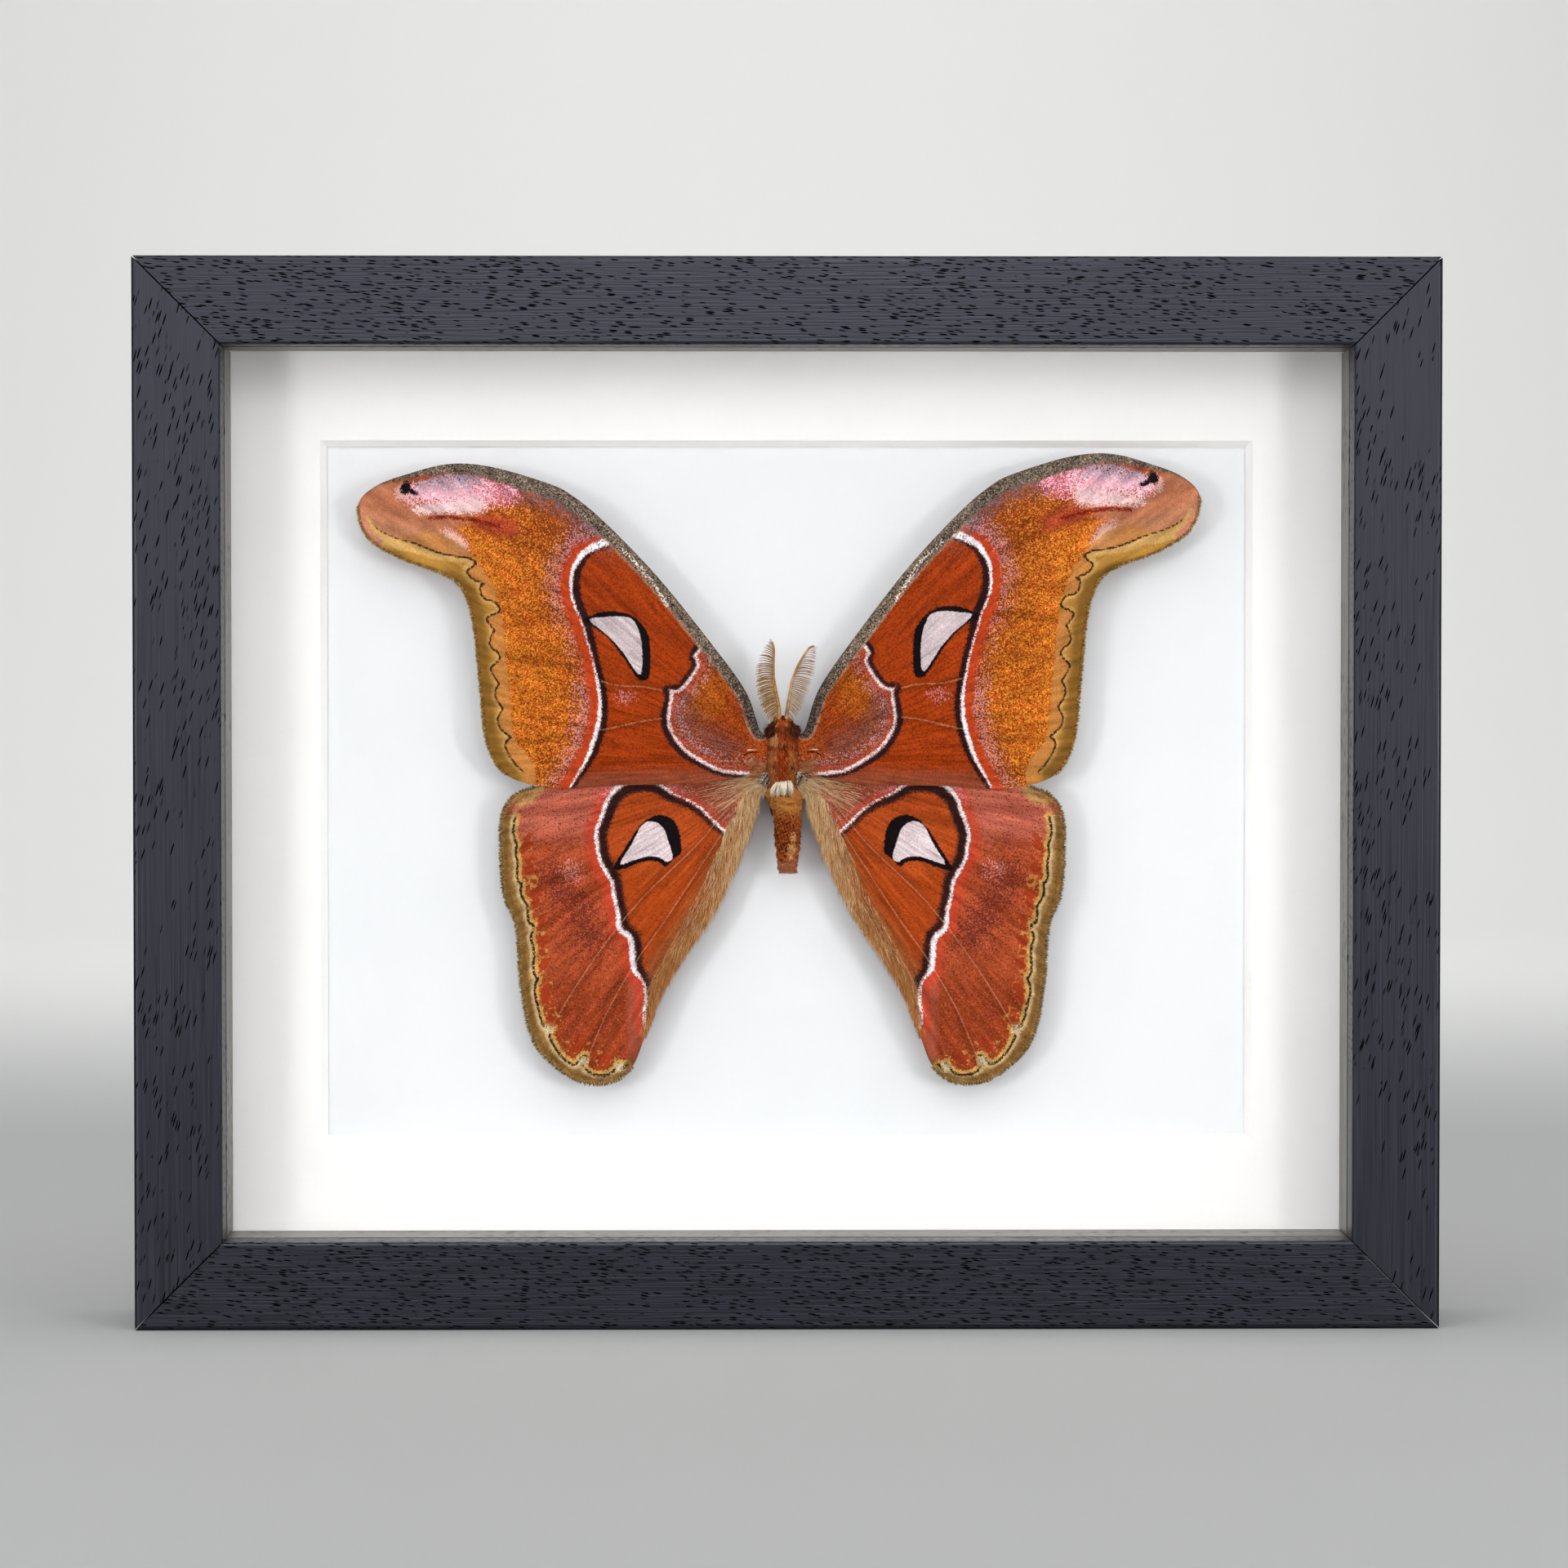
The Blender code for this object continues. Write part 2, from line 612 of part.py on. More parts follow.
def make_antenna(name, sign, lean, material, collection, rng):
    """A tapering shaft with two rows of curved rays, fused into one piece."""
    drawn = smooth_points(ANTENNA_ROUTE, 3)
    start = drawn[0].y
    reach = drawn[-1].y - start
    route = []
    for point in drawn:
        share = (point.y - start) / reach
        route.append(Vector((MOTH_X + sign * (point.x + lean * share ** 1.6), -2.2, MOTH_Z + point.y)))
    radii = [SHAFT_R * (1.0 - 0.45 * i / (len(route) - 1)) for i in range(len(route))]
    shaft = tube(name, route, radii, 8, material, collection)
    rays = []
    for row, (out_share, back_share) in enumerate(((1.0, 0.10), (0.72, 0.62))):
        for i in range(RAY_PAIRS):
            share = 0.2 + 0.74 * i / (RAY_PAIRS - 1)
            spot = share * (len(route) - 1)
            low = min(int(spot), len(route) - 2)
            base = route[low].lerp(route[low + 1], spot - low)
            bell = math.sin(math.pi * min(1.0, 0.16 + share * 0.92)) ** 0.5
            length = RAY_LENGTH * max(0.42, bell) * rng.uniform(0.94, 1.04)
            out = Vector((sign * out_share, back_share, 0.28))
            bend = Vector((sign * out_share * 0.35, back_share * 0.4, 0.55))
            root = base + Vector((0.0, 0.0, 0.0))
            knee = root + out.normalized() * length * 0.55
            end = knee + bend.normalized() * length * 0.5
            line = [root, knee, end]
            rays.append(tube(f"{name}_ray_{row}_{i}", line, [RAY_R, RAY_R * 0.85, 0.1], 4, None, collection))
    fuse(shaft, rays, collection)
    return shaft


def main():
    clear_scene()
    model = make_collection("framed_atlas_silkmoth")
    cutters = make_collection("cutters")
    black_wood = make_material("black stained wood", (0.035, 0.037, 0.045), 0.45)
    spacer_wood = make_material("grey brown wood strip", (0.16, 0.14, 0.12), 0.6)
    glass = make_material("clear glass", (0.95, 0.97, 0.97), 0.03, transmission=1.0)
    board = make_material("white mount board", (0.87, 0.86, 0.83), 0.85)
    paper = make_material("white backing paper", (0.9, 0.92, 0.95), 0.85)
    fibreboard = make_material("brown fibreboard", (0.3, 0.19, 0.1), 0.8)
    steel = make_material("zinc plated steel", (0.55, 0.56, 0.58), 0.4, metallic=1.0)
    cork = make_material("pale cork", (0.55, 0.38, 0.22), 0.9)
    rust_hair = make_material("rust red hair", (0.36, 0.09, 0.03), 0.8)
    belly_hair = make_material("orange brown hair", (0.42, 0.16, 0.05), 0.8)
    eye_black = make_material("dark eye", (0.02, 0.014, 0.012), 0.25)
    horn_brown = make_material("tan antenna", (0.4, 0.22, 0.06), 0.6)
    forewing_scales = make_material("forewing scales", (0.42, 0.14, 0.03), 0.75)
    hindwing_scales = make_material("hindwing scales", (0.4, 0.09, 0.035), 0.75)
    leg_brown = make_material("brown leg", (0.25, 0.1, 0.04), 0.7)

    for name, side in (("top", (0, 1)), ("bottom", (0, -1)), ("right", (1, 0)), ("left", (-1, 0))):
        make_rail("rail_" + name, side, black_wood, model)
    sheet = (GLASS_W - GAP * 2.0, GLASS_H - GAP * 2.0)
    layers = (
        ("glazing", GLASS_Y, GLASS_T, glass),
        ("backdrop_board", BACKDROP_Y, BACKDROP_T, paper),
        ("back_panel", PANEL_Y, PANEL_T, fibreboard),
    )
    for name, front, thickness, material in layers:
        box(name, (sheet[0], thickness, sheet[1]), (0.0, front + thickness / 2.0, CENTRE_Z), material, model)
    make_spacers(spacer_wood, model)
    make_mat(board, model, cutters)
    make_point_tabs(steel, model)
    make_hanger(steel, model)

    head = loft("head", HEAD_STATIONS, BODY_Y, 0.0, rust_hair, model)
    thorax = loft("thorax", THORAX_STATIONS, BODY_Y, 0.0, rust_hair, model)
    loft("abdomen", ABDOMEN_STATIONS, BODY_Y + 0.3, 0.0, belly_hair, model)
    head_room = loft("head_room", grown_stations(HEAD_STATIONS, GAP), BODY_Y, GAP, None, model)
    thorax_room = loft("thorax_room", grown_stations(THORAX_STATIONS, GAP), BODY_Y, GAP, None, model)
    make_cutter(head_room, cutters)
    make_cutter(thorax_room, cutters)

    sides = (("left", -1.0), ("right", 1.0))
    for side, sign in sides:
        centre = (MOTH_X + sign * EYE_X, BODY_Y - 0.5, MOTH_Z + EYE_Z)
        ball("eye_" + side, centre, (EYE_R * 0.75, EYE_R * 1.1, EYE_R), eye_black, model)
        grown = EYE_R + GAP
        room = ball("eye_room_" + side, centre, (grown * 0.8, grown * 1.1, grown), None, model)
        cut(head, make_cutter(room, cutters))

        lean = ANTENNA_RIGHT_LEAN if side == "right" else 0.0
        rng = random.Random(11 if side == "left" else 12)
        antenna = make_antenna("antenna_" + side, sign, lean, horn_brown, model, rng)
        cut(antenna, head_room)

        spread = FOREWING_SPREAD[side]
        forewing = wing_sheet("forewing_" + side, FOREWING, FOREWING_VEINS, FOREWING_Y, sign, spread,
                              forewing_scales, model)
        cut(forewing, thorax_room)
        hindwing = wing_sheet("hindwing_" + side, HINDWING, HINDWING_VEINS, HINDWING_Y, sign, (1.0, 1.0),
                              hindwing_scales, model)
        rng = random.Random(21 if side == "left" else 22)
        fuse(hindwing, make_locks(sign, HINDWING_Y, model, rng), model)
        cut(hindwing, thorax_room)

        for pair, route in LEG_ROUTES.items():
            drawn = [Vector((MOTH_X + sign * x, y, MOTH_Z + z)) for x, y, z in route]
            path = smooth_points(drawn, 3)
            radii = [LEG_R * (1.0 - 0.45 * i / (len(path) - 1)) for i in range(len(path))]
            leg = tube(f"leg_{pair}_{side}", path, radii, 8, leg_brown, model)
            cut(leg, thorax_room)

    thorax_back = BODY_Y + THORAX_STATIONS[2][2] + GAP
    support_d = BACKDROP_Y - GAP - thorax_back
    centre = (MOTH_X, thorax_back + support_d / 2.0, MOTH_Z + THORAX_STATIONS[2][0] - 0.6)
    box("specimen_support", (SUPPORT_W, support_d, SUPPORT_H), centre, cork, model)


main()
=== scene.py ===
# %% [markdown]
# A framed atlas silkmoth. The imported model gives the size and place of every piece, in metres.
# The frame stands on the floor plane, its glass faces -Y, and the moth sits behind the glass.
# This file dresses that model: wood, glass and boards get their finish, and the moth's
# plain solids are replaced by finer wings, hair, feelers and legs in the same places.

# %% Load the frame
import math

import bmesh
import bpy
import numpy as np
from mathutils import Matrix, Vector
from mathutils.geometry import delaunay_2d_cdt


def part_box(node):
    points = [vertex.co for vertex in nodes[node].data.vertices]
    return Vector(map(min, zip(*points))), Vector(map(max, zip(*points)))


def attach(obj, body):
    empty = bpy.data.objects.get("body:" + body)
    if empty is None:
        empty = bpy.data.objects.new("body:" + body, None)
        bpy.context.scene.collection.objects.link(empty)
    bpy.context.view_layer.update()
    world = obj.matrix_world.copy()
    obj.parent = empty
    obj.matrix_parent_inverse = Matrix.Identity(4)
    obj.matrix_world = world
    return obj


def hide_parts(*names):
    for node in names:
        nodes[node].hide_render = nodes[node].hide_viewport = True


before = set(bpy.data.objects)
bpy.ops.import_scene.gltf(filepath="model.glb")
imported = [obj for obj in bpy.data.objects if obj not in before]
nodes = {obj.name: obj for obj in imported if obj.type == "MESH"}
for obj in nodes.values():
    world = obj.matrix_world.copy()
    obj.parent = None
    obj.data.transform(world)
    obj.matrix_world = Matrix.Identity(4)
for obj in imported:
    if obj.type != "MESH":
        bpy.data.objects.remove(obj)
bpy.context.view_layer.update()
MM = 0.001

# %% [markdown]
# The middle of the thorax is the moth's own origin. Wings and body are drawn in millimetres
# from it: out from the axis and up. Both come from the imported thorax, so they follow the model.

# %% The moth's axis
thorax_low, thorax_high = (np.array(c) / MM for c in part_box("thorax"))
AXIS_X = (thorax_low[0] + thorax_high[0]) / 2.0
AXIS_Z = thorax_high[2] - 6.4
BODY_Y = (thorax_low[1] + thorax_high[1]) / 2.0
rng = np.random.default_rng(7)
print("moth's axis: x %.2f z %.2f, middle depth %.2f" % (AXIS_X, AXIS_Z, BODY_Y))

# %% [markdown]
# Every material is built from nodes. One small function adds a node, gives it its settings and
# fills its sockets, either with a value or with a link. A socket is named in words, with _ for
# a space, and a colour is written as the hex value that a paint program shows.

# %% Node and colour helpers
def srgb(hex_colour):
    """A hex colour as linear red, green, blue and alpha."""
    parts = [int(hex_colour[i:i + 2], 16) / 255.0 for i in (1, 3, 5)]
    linear = [p / 12.92 if p <= 0.04045 else ((p + 0.055) / 1.055) ** 2.4 for p in parts]
    return (*linear, 1.0)


def add(tree, kind, settings=None, order=(), **sockets):
    """Add a node; its inputs are given in order or by name, as values, hex colours or outputs."""
    node = tree.nodes.new(kind)
    for key, value in (settings or {}).items():
        setattr(node, key, value)
    pairs = list(zip(node.inputs, order))
    for key, value in sockets.items():
        words = key.replace("_", " ")
        pairs.append((next(s for s in node.inputs if s.name == words and s.enabled), value))
    for socket, value in pairs:
        if isinstance(value, bpy.types.NodeSocket):
            tree.links.new(value, socket)
        elif isinstance(value, str) and value.startswith("#"):
            socket.default_value = srgb(value)
        else:
            socket.default_value = value
    return node


def result(node):
    """The output of a node that is in use."""
    return next(s for s in node.outputs if s.enabled)


def new_material(name):
    """An empty material with its output and a Principled shader."""
    material = bpy.data.materials.new(name)
    material.use_nodes = True
    tree = material.node_tree
    return material, tree, tree.nodes["Principled BSDF"]


def set_slot(obj, material):
    """Give a piece this one material."""
    obj.data.materials.clear()
    obj.data.materials.append(material)


def put(name, data):
    """An object with this data in the scene, at the origin."""
    thing = bpy.data.objects.new(name, data)
    bpy.context.scene.collection.objects.link(thing)
    return thing


# %% [markdown]
# The photo was taken from about a metre away, a little above and left of the middle, with a
# long lens. The frame fills most of the picture. A camera that looks slightly down gives the
# same lines without any lens shift.

# %% Camera
CAMERA_PLACE = (-0.0122, -1.0, 0.143)
CAMERA_DOWN = math.radians(1.42)
CAMERA_RIGHT = math.radians(0.66)
SENSOR = 36.0
FOCAL_PIXELS = 5560.0
PICTURE = 1920.0
camera_data = bpy.data.cameras.new("camera")
camera_data.sensor_width = SENSOR
camera_data.lens = FOCAL_PIXELS / PICTURE * SENSOR
camera_data.clip_start = 0.01
camera = put("camera", camera_data)
camera.location = CAMERA_PLACE
camera.rotation_euler = (math.pi / 2.0 - CAMERA_DOWN, 0.0, -CAMERA_RIGHT)
bpy.context.scene.camera = camera
print("lens %.1f mm" % camera_data.lens)

# %% [markdown]
# The floor is a plain pale sheet that curves up behind the frame. Two soft lamps stand left and
# right of the camera, level with the moth: in the photo its body throws one shadow to either
# side. A weak one from the front fills the mat's edges; it hangs high enough to stay out of the
# glass's mirror. The sheen lamp hangs at the same place and adds shine only: it gives the rails
# their satin look without filling the shadows. One above draws the frame's top edge, and one
# beyond the frame is turned to the wall, which it makes pale and bright.

# %% Floor, lamps and sky
FLOOR_SIZE = 6.0
SWEEP = 0.9
SWEEP_STEPS = 12
bm = bmesh.new()
profile = [(-FLOOR_SIZE / 2.0, 0.0), (FLOOR_SIZE / 4.0, 0.0)]
for i in range(1, SWEEP_STEPS + 1):
    angle = math.pi / 2.0 * i / SWEEP_STEPS
    profile.append((FLOOR_SIZE / 4.0 + SWEEP * math.sin(angle), SWEEP - SWEEP * math.cos(angle)))
profile.append((FLOOR_SIZE / 4.0 + SWEEP, FLOOR_SIZE / 2.0))
strips = []
for x in (-FLOOR_SIZE, FLOOR_SIZE):
    strips.append([bm.verts.new((x, y, z)) for y, z in profile])
for k in range(len(profile) - 1):
    bm.faces.new((strips[0][k], strips[1][k], strips[1][k + 1], strips[0][k + 1]))
floor_mesh = bpy.data.meshes.new("floor")
bm.to_mesh(floor_mesh)
bm.free()
floor_mesh.shade_smooth()
floor = put("floor", floor_mesh)
paint, tree, shader = new_material("pale studio paper")
shader.inputs["Base Color"].default_value = srgb("#efefec")
shader.inputs["Roughness"].default_value = 0.9
set_slot(floor, paint)
floor.visible_glossy = False
floor.visible_transmission = False

# Each lamp: name, place, size in metres, power in watts, what it is turned to
MOTH_PLACE = Vector((0.0, 0.0, 0.11))
WALL_PLACE = Vector((0.0, 2.4, 0.5))
lamps = (
    ("left lamp", (-0.8, -1.1, 0.15), 0.2, 3.5, MOTH_PLACE),
    ("right lamp", (0.8, -1.1, 0.15), 0.2, 3.5, MOTH_PLACE),
    ("front lamp", (0.0, -2.0, 0.95), 0.6, 0.8, MOTH_PLACE),
    ("sheen lamp", (0.0, -2.0, 0.95), 0.6, 17.0, MOTH_PLACE),
    ("top lamp", (0.0, -0.3, 1.4), 0.9, 2.2, MOTH_PLACE),
    ("wall lamp", (0.0, 1.0, 1.2), 1.0, 12.0, WALL_PLACE),
)
for name, place, size, power, target in lamps:
    lamp = bpy.data.lights.new(name, "AREA")
    lamp.size = size
    lamp.energy = power
    holder = put(name, lamp)
    holder.location = place
    aim = target - Vector(place)
    holder.rotation_euler = aim.to_track_quat("-Z", "Y").to_euler()
    holder.visible_camera = False
    holder.visible_diffuse = name != "sheen lamp"
world = bpy.data.worlds.new("studio")
world.use_nodes = True
sky = world.node_tree
height = add(sky, "ShaderNodeSeparateXYZ", Vector=add(sky, "ShaderNodeTexCoord").outputs["Generated"])
lift = add(sky, "ShaderNodeMapRange", Value=height.outputs["Z"], From_Min=0.0, From_Max=0.45)
glow = add(sky, "ShaderNodeMix", {"data_type": "RGBA"},
           Factor=lift.outputs[0], A="#26272b", B="#f4f7fb")
background = sky.nodes["Background"]
sky.links.new(result(glow), background.inputs["Color"])
SKY_STRENGTH = 0.45
background.inputs["Strength"].default_value = SKY_STRENGTH
bpy.context.scene.world = world
bpy.context.scene.view_settings.view_transform = "Standard"
print("lamps:", len(lamps))

# %% [markdown]
# The moulding is an open-grained hardwood such as ash or obeche, planed flat, stained black and
# left satin. The stain hides the colour of the grain but not its pores, which show as short dark
# strokes, crowded in some patches and rare in others. Stretched cells give one stroke each; a
# chance leaves many out, and the same mask sinks the strokes in the bump and dulls them. The top
# and bottom rails have short, crowded pores; the upright ones longer, rarer and leaning ones.
# A pore is about 0.2 mm wide; here they are about 0.3 mm, so that they show.

# %% Black stained wood
PORE_GAP = 0.52
GRAIN_DRIFT = 1.6 * MM
DRIFT_SCALE = 38.0
PATCH_SCALE = 45.0
PORE_DEPTH = 0.3 * MM


def stained_wood(name, along, slant, pore_reach, share, stain, sheen_tint):
    """Stain on open-grained wood; along is the axis of the grain, share how many cells have a pore."""
    material, tree, shader = new_material(name)
    place = add(tree, "ShaderNodeTexCoord").outputs["Object"]
    stretch = [1.0 / (PORE_GAP * MM)] * 3
    stretch[along] = 1.0 / (pore_reach * MM)
    wander = add(tree, "ShaderNodeTexNoise", Vector=place, Scale=DRIFT_SCALE, Detail=0.0)
    drift = add(tree, "ShaderNodeVectorMath", {"operation": "MULTIPLY_ADD"},
                (wander.outputs["Color"], (GRAIN_DRIFT, GRAIN_DRIFT, GRAIN_DRIFT), place))
    turned = add(tree, "ShaderNodeVectorRotate", {"rotation_type": "Y_AXIS"},
                 Vector=drift.outputs[0], Angle=slant)
    along_grain = add(tree, "ShaderNodeMapping", Vector=turned.outputs[0], Scale=stretch)
    pore = add(tree, "ShaderNodeTexVoronoi", Vector=along_grain.outputs[0], Scale=1.0)
    pick = add(tree, "ShaderNodeSeparateColor", Color=pore.outputs["Color"])
    patches = add(tree, "ShaderNodeTexNoise", Vector=place, Scale=PATCH_SCALE, Detail=1.0)
    level = add(tree, "ShaderNodeMapRange", Value=patches.outputs[0], From_Min=0.35, From_Max=0.65,
                To_Min=share - 0.4, To_Max=share + 0.4)
    present = add(tree, "ShaderNodeMath", {"operation": "LESS_THAN"},
                  (pick.outputs["Red"], level.outputs[0]))
    stroke = add(tree, "ShaderNodeMapRange", Value=pore.outputs["Distance"],
                 From_Min=0.33, From_Max=0.22)
    mask = add(tree, "ShaderNodeMath", {"operation": "MULTIPLY"},
               (present.outputs[0], stroke.outputs[0]))
    fine_stretch = [v * (0.3 if k == along else 2.2) for k, v in enumerate(stretch)]
    fine_map = add(tree, "ShaderNodeMapping", Vector=place, Scale=fine_stretch)
    fine = add(tree, "ShaderNodeTexNoise", Vector=fine_map.outputs[0], Scale=0.6, Detail=1.0)
    tone = add(tree, "ShaderNodeMapRange", Value=fine.outputs[0], From_Min=0.3, From_Max=0.7)
    ground = add(tree, "ShaderNodeMix", {"data_type": "RGBA"},
                 Factor=tone.outputs[0], A=stain, B=sheen_tint)
    colour = add(tree, "ShaderNodeMix", {"data_type": "RGBA"}, Factor=mask.outputs[0],
                 A=result(ground), B="#040405")
    tree.links.new(result(colour), shader.inputs["Base Color"])
    rough = add(tree, "ShaderNodeMapRange", Value=tone.outputs[0], To_Min=0.34, To_Max=0.48)
    dull = add(tree, "ShaderNodeMix", Factor=mask.outputs[0], A=rough.outputs[0], B=0.95)
    tree.links.new(result(dull), shader.inputs["Roughness"])
    gloss = add(tree, "ShaderNodeMapRange", Value=mask.outputs[0], To_Min=0.5, To_Max=0.04)
    tree.links.new(gloss.outputs[0], shader.inputs["Specular IOR Level"])
    wax = add(tree, "ShaderNodeMapRange", Value=mask.outputs[0], To_Min=0.12, To_Max=0.0)
    tree.links.new(wax.outputs[0], shader.inputs["Coat Weight"])
    tooth = add(tree, "ShaderNodeMath", {"operation": "MULTIPLY"}, (fine.outputs[0], 0.3))
    depth = add(tree, "ShaderNodeMath", {"operation": "MULTIPLY_ADD"},
                (mask.outputs[0], -0.9, tooth.outputs[0]))
    bump = add(tree, "ShaderNodeBump", Height=depth.outputs[0], Strength=0.8, Distance=PORE_DEPTH)
    tree.links.new(bump.outputs[0], shader.inputs["Normal"])
    shader.inputs["Specular Tint"].default_value = srgb("#e4e7ff")
    shader.inputs["Coat Roughness"].default_value = 0.4
    return material


X_AXIS, Z_AXIS = 0, 2
BLACK_STAIN = ("#222329", "#2a2b33")
wood_across = stained_wood("black stained wood, grain across", X_AXIS, -0.1, 3.2, 0.9, *BLACK_STAIN)
wood_up = stained_wood("black stained wood, grain upright", Z_AXIS, -0.28, 5.0, 0.3, *BLACK_STAIN)


def dress_sides(prefix, across, upright):
    """Give the four pieces round the opening their finish, by the way their grain runs."""
    for side, finish in (("top", across), ("bottom", across), ("left", upright), ("right", upright)):
        set_slot(nodes[prefix + side], finish)
    print(prefix + "top, bottom, left and right dressed")


dress_sides("rail_", wood_across, wood_up)

# %% [markdown]
# Picture glass is clear float glass, 2 mm thick. The pane mirrors the room a little and lets
# the lamps through. A plain glass shader would stop lamp light, so shadow rays meet a
# transparent shader instead, and the moth behind is lit as in the photo.

# %% Picture glass
GLASS_IOR = 1.5
GLASS_MIRROR = 0.12
glass, tree, shader = new_material("clear float glass")
shader.inputs["Base Color"].default_value = (1.0, 1.0, 1.0, 1.0)
shader.inputs["Roughness"].default_value = 0.0
shader.inputs["IOR"].default_value = GLASS_IOR
shader.inputs["Transmission Weight"].default_value = 1.0
shader.inputs["Specular IOR Level"].default_value = GLASS_MIRROR
clear = add(tree, "ShaderNodeBsdfTransparent", Color=(0.97, 0.98, 0.975, 1.0))
lamp_ray = add(tree, "ShaderNodeLightPath").outputs["Is Shadow Ray"]
pane = add(tree, "ShaderNodeMixShader", None, (lamp_ray, shader.outputs[0], clear.outputs[0]))
tree.links.new(pane.outputs[0], tree.nodes["Material Output"].inputs["Surface"])
set_slot(nodes["glazing"], glass)
print("glass dressed, refraction", GLASS_IOR)

# %% [markdown]
# Behind the glass come thin wooden strips stained grey brown, the white window mat and the
# white backing paper. Board and paper are matt and nearly even: a very fine tooth in the bump
# and a faint change of tone keep them from looking like plastic.

# %% Strips, mat and backing
def plain_finish(name, light, dark, cloud_mm, tooth_mm, rough, bump_mm, shine=0.3):
    """Two close tones in soft clouds, with a fine tooth in the bump; sizes in millimetres."""
    material, tree, shader = new_material(name)
    place = add(tree, "ShaderNodeTexCoord").outputs["Object"]
    cloud = add(tree, "ShaderNodeTexNoise", Vector=place, Scale=1.0 / (cloud_mm * MM), Detail=2.0)
    share = add(tree, "ShaderNodeMapRange", Value=cloud.outputs[0], From_Min=0.35, From_Max=0.65)
    colour = add(tree, "ShaderNodeMix", {"data_type": "RGBA"},
                 Factor=share.outputs[0], A=light, B=dark)
    tree.links.new(result(colour), shader.inputs["Base Color"])
    shader.inputs["Roughness"].default_value = rough
    shader.inputs["Specular IOR Level"].default_value = shine
    fibre = add(tree, "ShaderNodeTexNoise", Vector=place, Scale=1.0 / (tooth_mm * MM), Detail=1.0)
    bump = add(tree, "ShaderNodeBump", Height=fibre.outputs[0], Strength=0.4, Distance=bump_mm * MM)
    tree.links.new(bump.outputs[0], shader.inputs["Normal"])
    return material, shader


mount_board, _ = plain_finish("white mount board", "#f9f7f5", "#f5f3f1",
                              70.0, 0.5, 0.85, 0.012, 0.2)
backing_paper, _ = plain_finish("white backing paper", "#ebecee", "#e7e9eb",
                                70.0, 0.35, 0.85, 0.008, 0.2)
set_slot(nodes["window_mat"], mount_board)
set_slot(nodes["backdrop_board"], backing_paper)
GREY_BROWN = ("#6b655f", "#5a544e")
strip_across = stained_wood("grey brown strip, grain across", X_AXIS, 0.0, 3.6, 0.2, *GREY_BROWN)
strip_up = stained_wood("grey brown strip, grain upright", Z_AXIS, 0.0, 3.6, 0.2, *GREY_BROWN)
dress_sides("spacer_", strip_across, strip_up)

# %% [markdown]
# A moth's wing is a membrane of a few hundredths of a millimetre on stiff veins, covered with
# flat scales like tiles. Here each wing is one thin closed sheet. Its outline and veins are
# smooth curves through a few points, which also made the imported model's solids. The right
# forewing was spread a little wider, as the photo shows.

# %% Outlines and veins, in millimetres out from the axis and up
FOREWING = [
    (1.5, 5.5), (4.7, 6.9), (8.0, 15.7), (15.1, 25.7), (27.4, 41.0), (39.0, 53.0), (46.2, 58.9),
    (51.4, 61.5), (63.7, 65.1), (73.0, 65.8), (82.2, 63.6), (89.5, 60.8), (93.2, 56.6), (91.2, 49.8),
    (84.4, 45.3), (76.2, 42.3), (71.6, 39.8), (69.0, 35.3), (67.6, 28.2), (66.4, 15.8), (65.0, 4.5),
    (60.6, -2.5), (50.5, -5.2), (36.5, -4.7), (17.7, -4.2), (4.7, -1.9), (1.5, -1.0),
]
HINDWING = [
    (1.5, -1.6), (14.0, -0.6), (34.0, -1.0), (48.0, -2.6), (54.5, -5.1), (58.8, -6.9),
    (61.6, -11.0), (62.0, -18.7), (61.2, -28.9), (58.5, -36.0), (57.6, -48.4), (55.2, -60.1),
    (50.5, -66.2), (44.4, -70.0), (38.0, -70.2), (33.1, -66.7), (30.2, -59.6), (27.0, -50.8),
    (22.2, -42.7), (15.6, -32.8), (9.4, -19.7), (6.2, -10.4), (5.2, -7.0), (4.2, -5.6),
    (1.5, -4.4),
]
FOREWING_VEINS = [
    [(7.2, 11.5), (15.4, 24.2), (27.2, 38.7), (38.6, 50.8), (50.6, 59.2), (64.0, 63.2), (78.0, 63.0)],
    [(8.2, 8.6), (17.5, 23.0), (24.7, 28.4), (34.0, 34.2), (46.0, 42.4), (60.0, 50.6), (77.0, 54.5)],
    [(36.5, 32.4), (52.0, 38.2), (67.8, 36.6)],
    [(35.0, 28.8), (50.0, 31.6), (66.2, 29.6)],
    [(8.4, 5.6), (17.5, 12.9), (28.6, 16.6), (38.0, 17.6), (52.0, 22.6), (65.6, 22.2)],
    [(8.6, 3.2), (17.5, 9.4), (28.0, 9.8), (39.0, 7.6), (52.0, 5.4), (63.4, 5.2)],
    [(9.0, 0.6), (18.0, 1.4), (32.4, 0.9), (45.0, -1.0), (57.0, -2.2)],
]
HINDWING_VEINS = [
    [(12.0, -4.6), (25.0, -7.0), (41.0, -9.4), (57.0, -10.6)],
    [(12.0, -6.6), (25.2, -9.6), (41.2, -14.4), (59.4, -19.4)],
    [(37.5, -21.0), (47.0, -24.4), (58.6, -28.0)],
    [(36.0, -23.4), (45.4, -29.6), (56.4, -39.0)],
    [(11.6, -9.0), (19.0, -18.0), (30.0, -28.6), (38.0, -38.2), (45.4, -48.8), (52.0, -60.0)],
    [(10.6, -11.2), (16.8, -20.6), (24.6, -32.6), (32.4, -43.8), (38.6, -54.6), (43.6, -66.6)],
    [(10.0, -14.0), (14.6, -24.6), (21.6, -36.6), (28.0, -46.4), (31.6, -55.6)],
]
SPREAD = {"forewing_left": (1.0, 1.0), "forewing_right": (0.985, 1.035)}
print("outline points:", len(FOREWING), len(HINDWING))

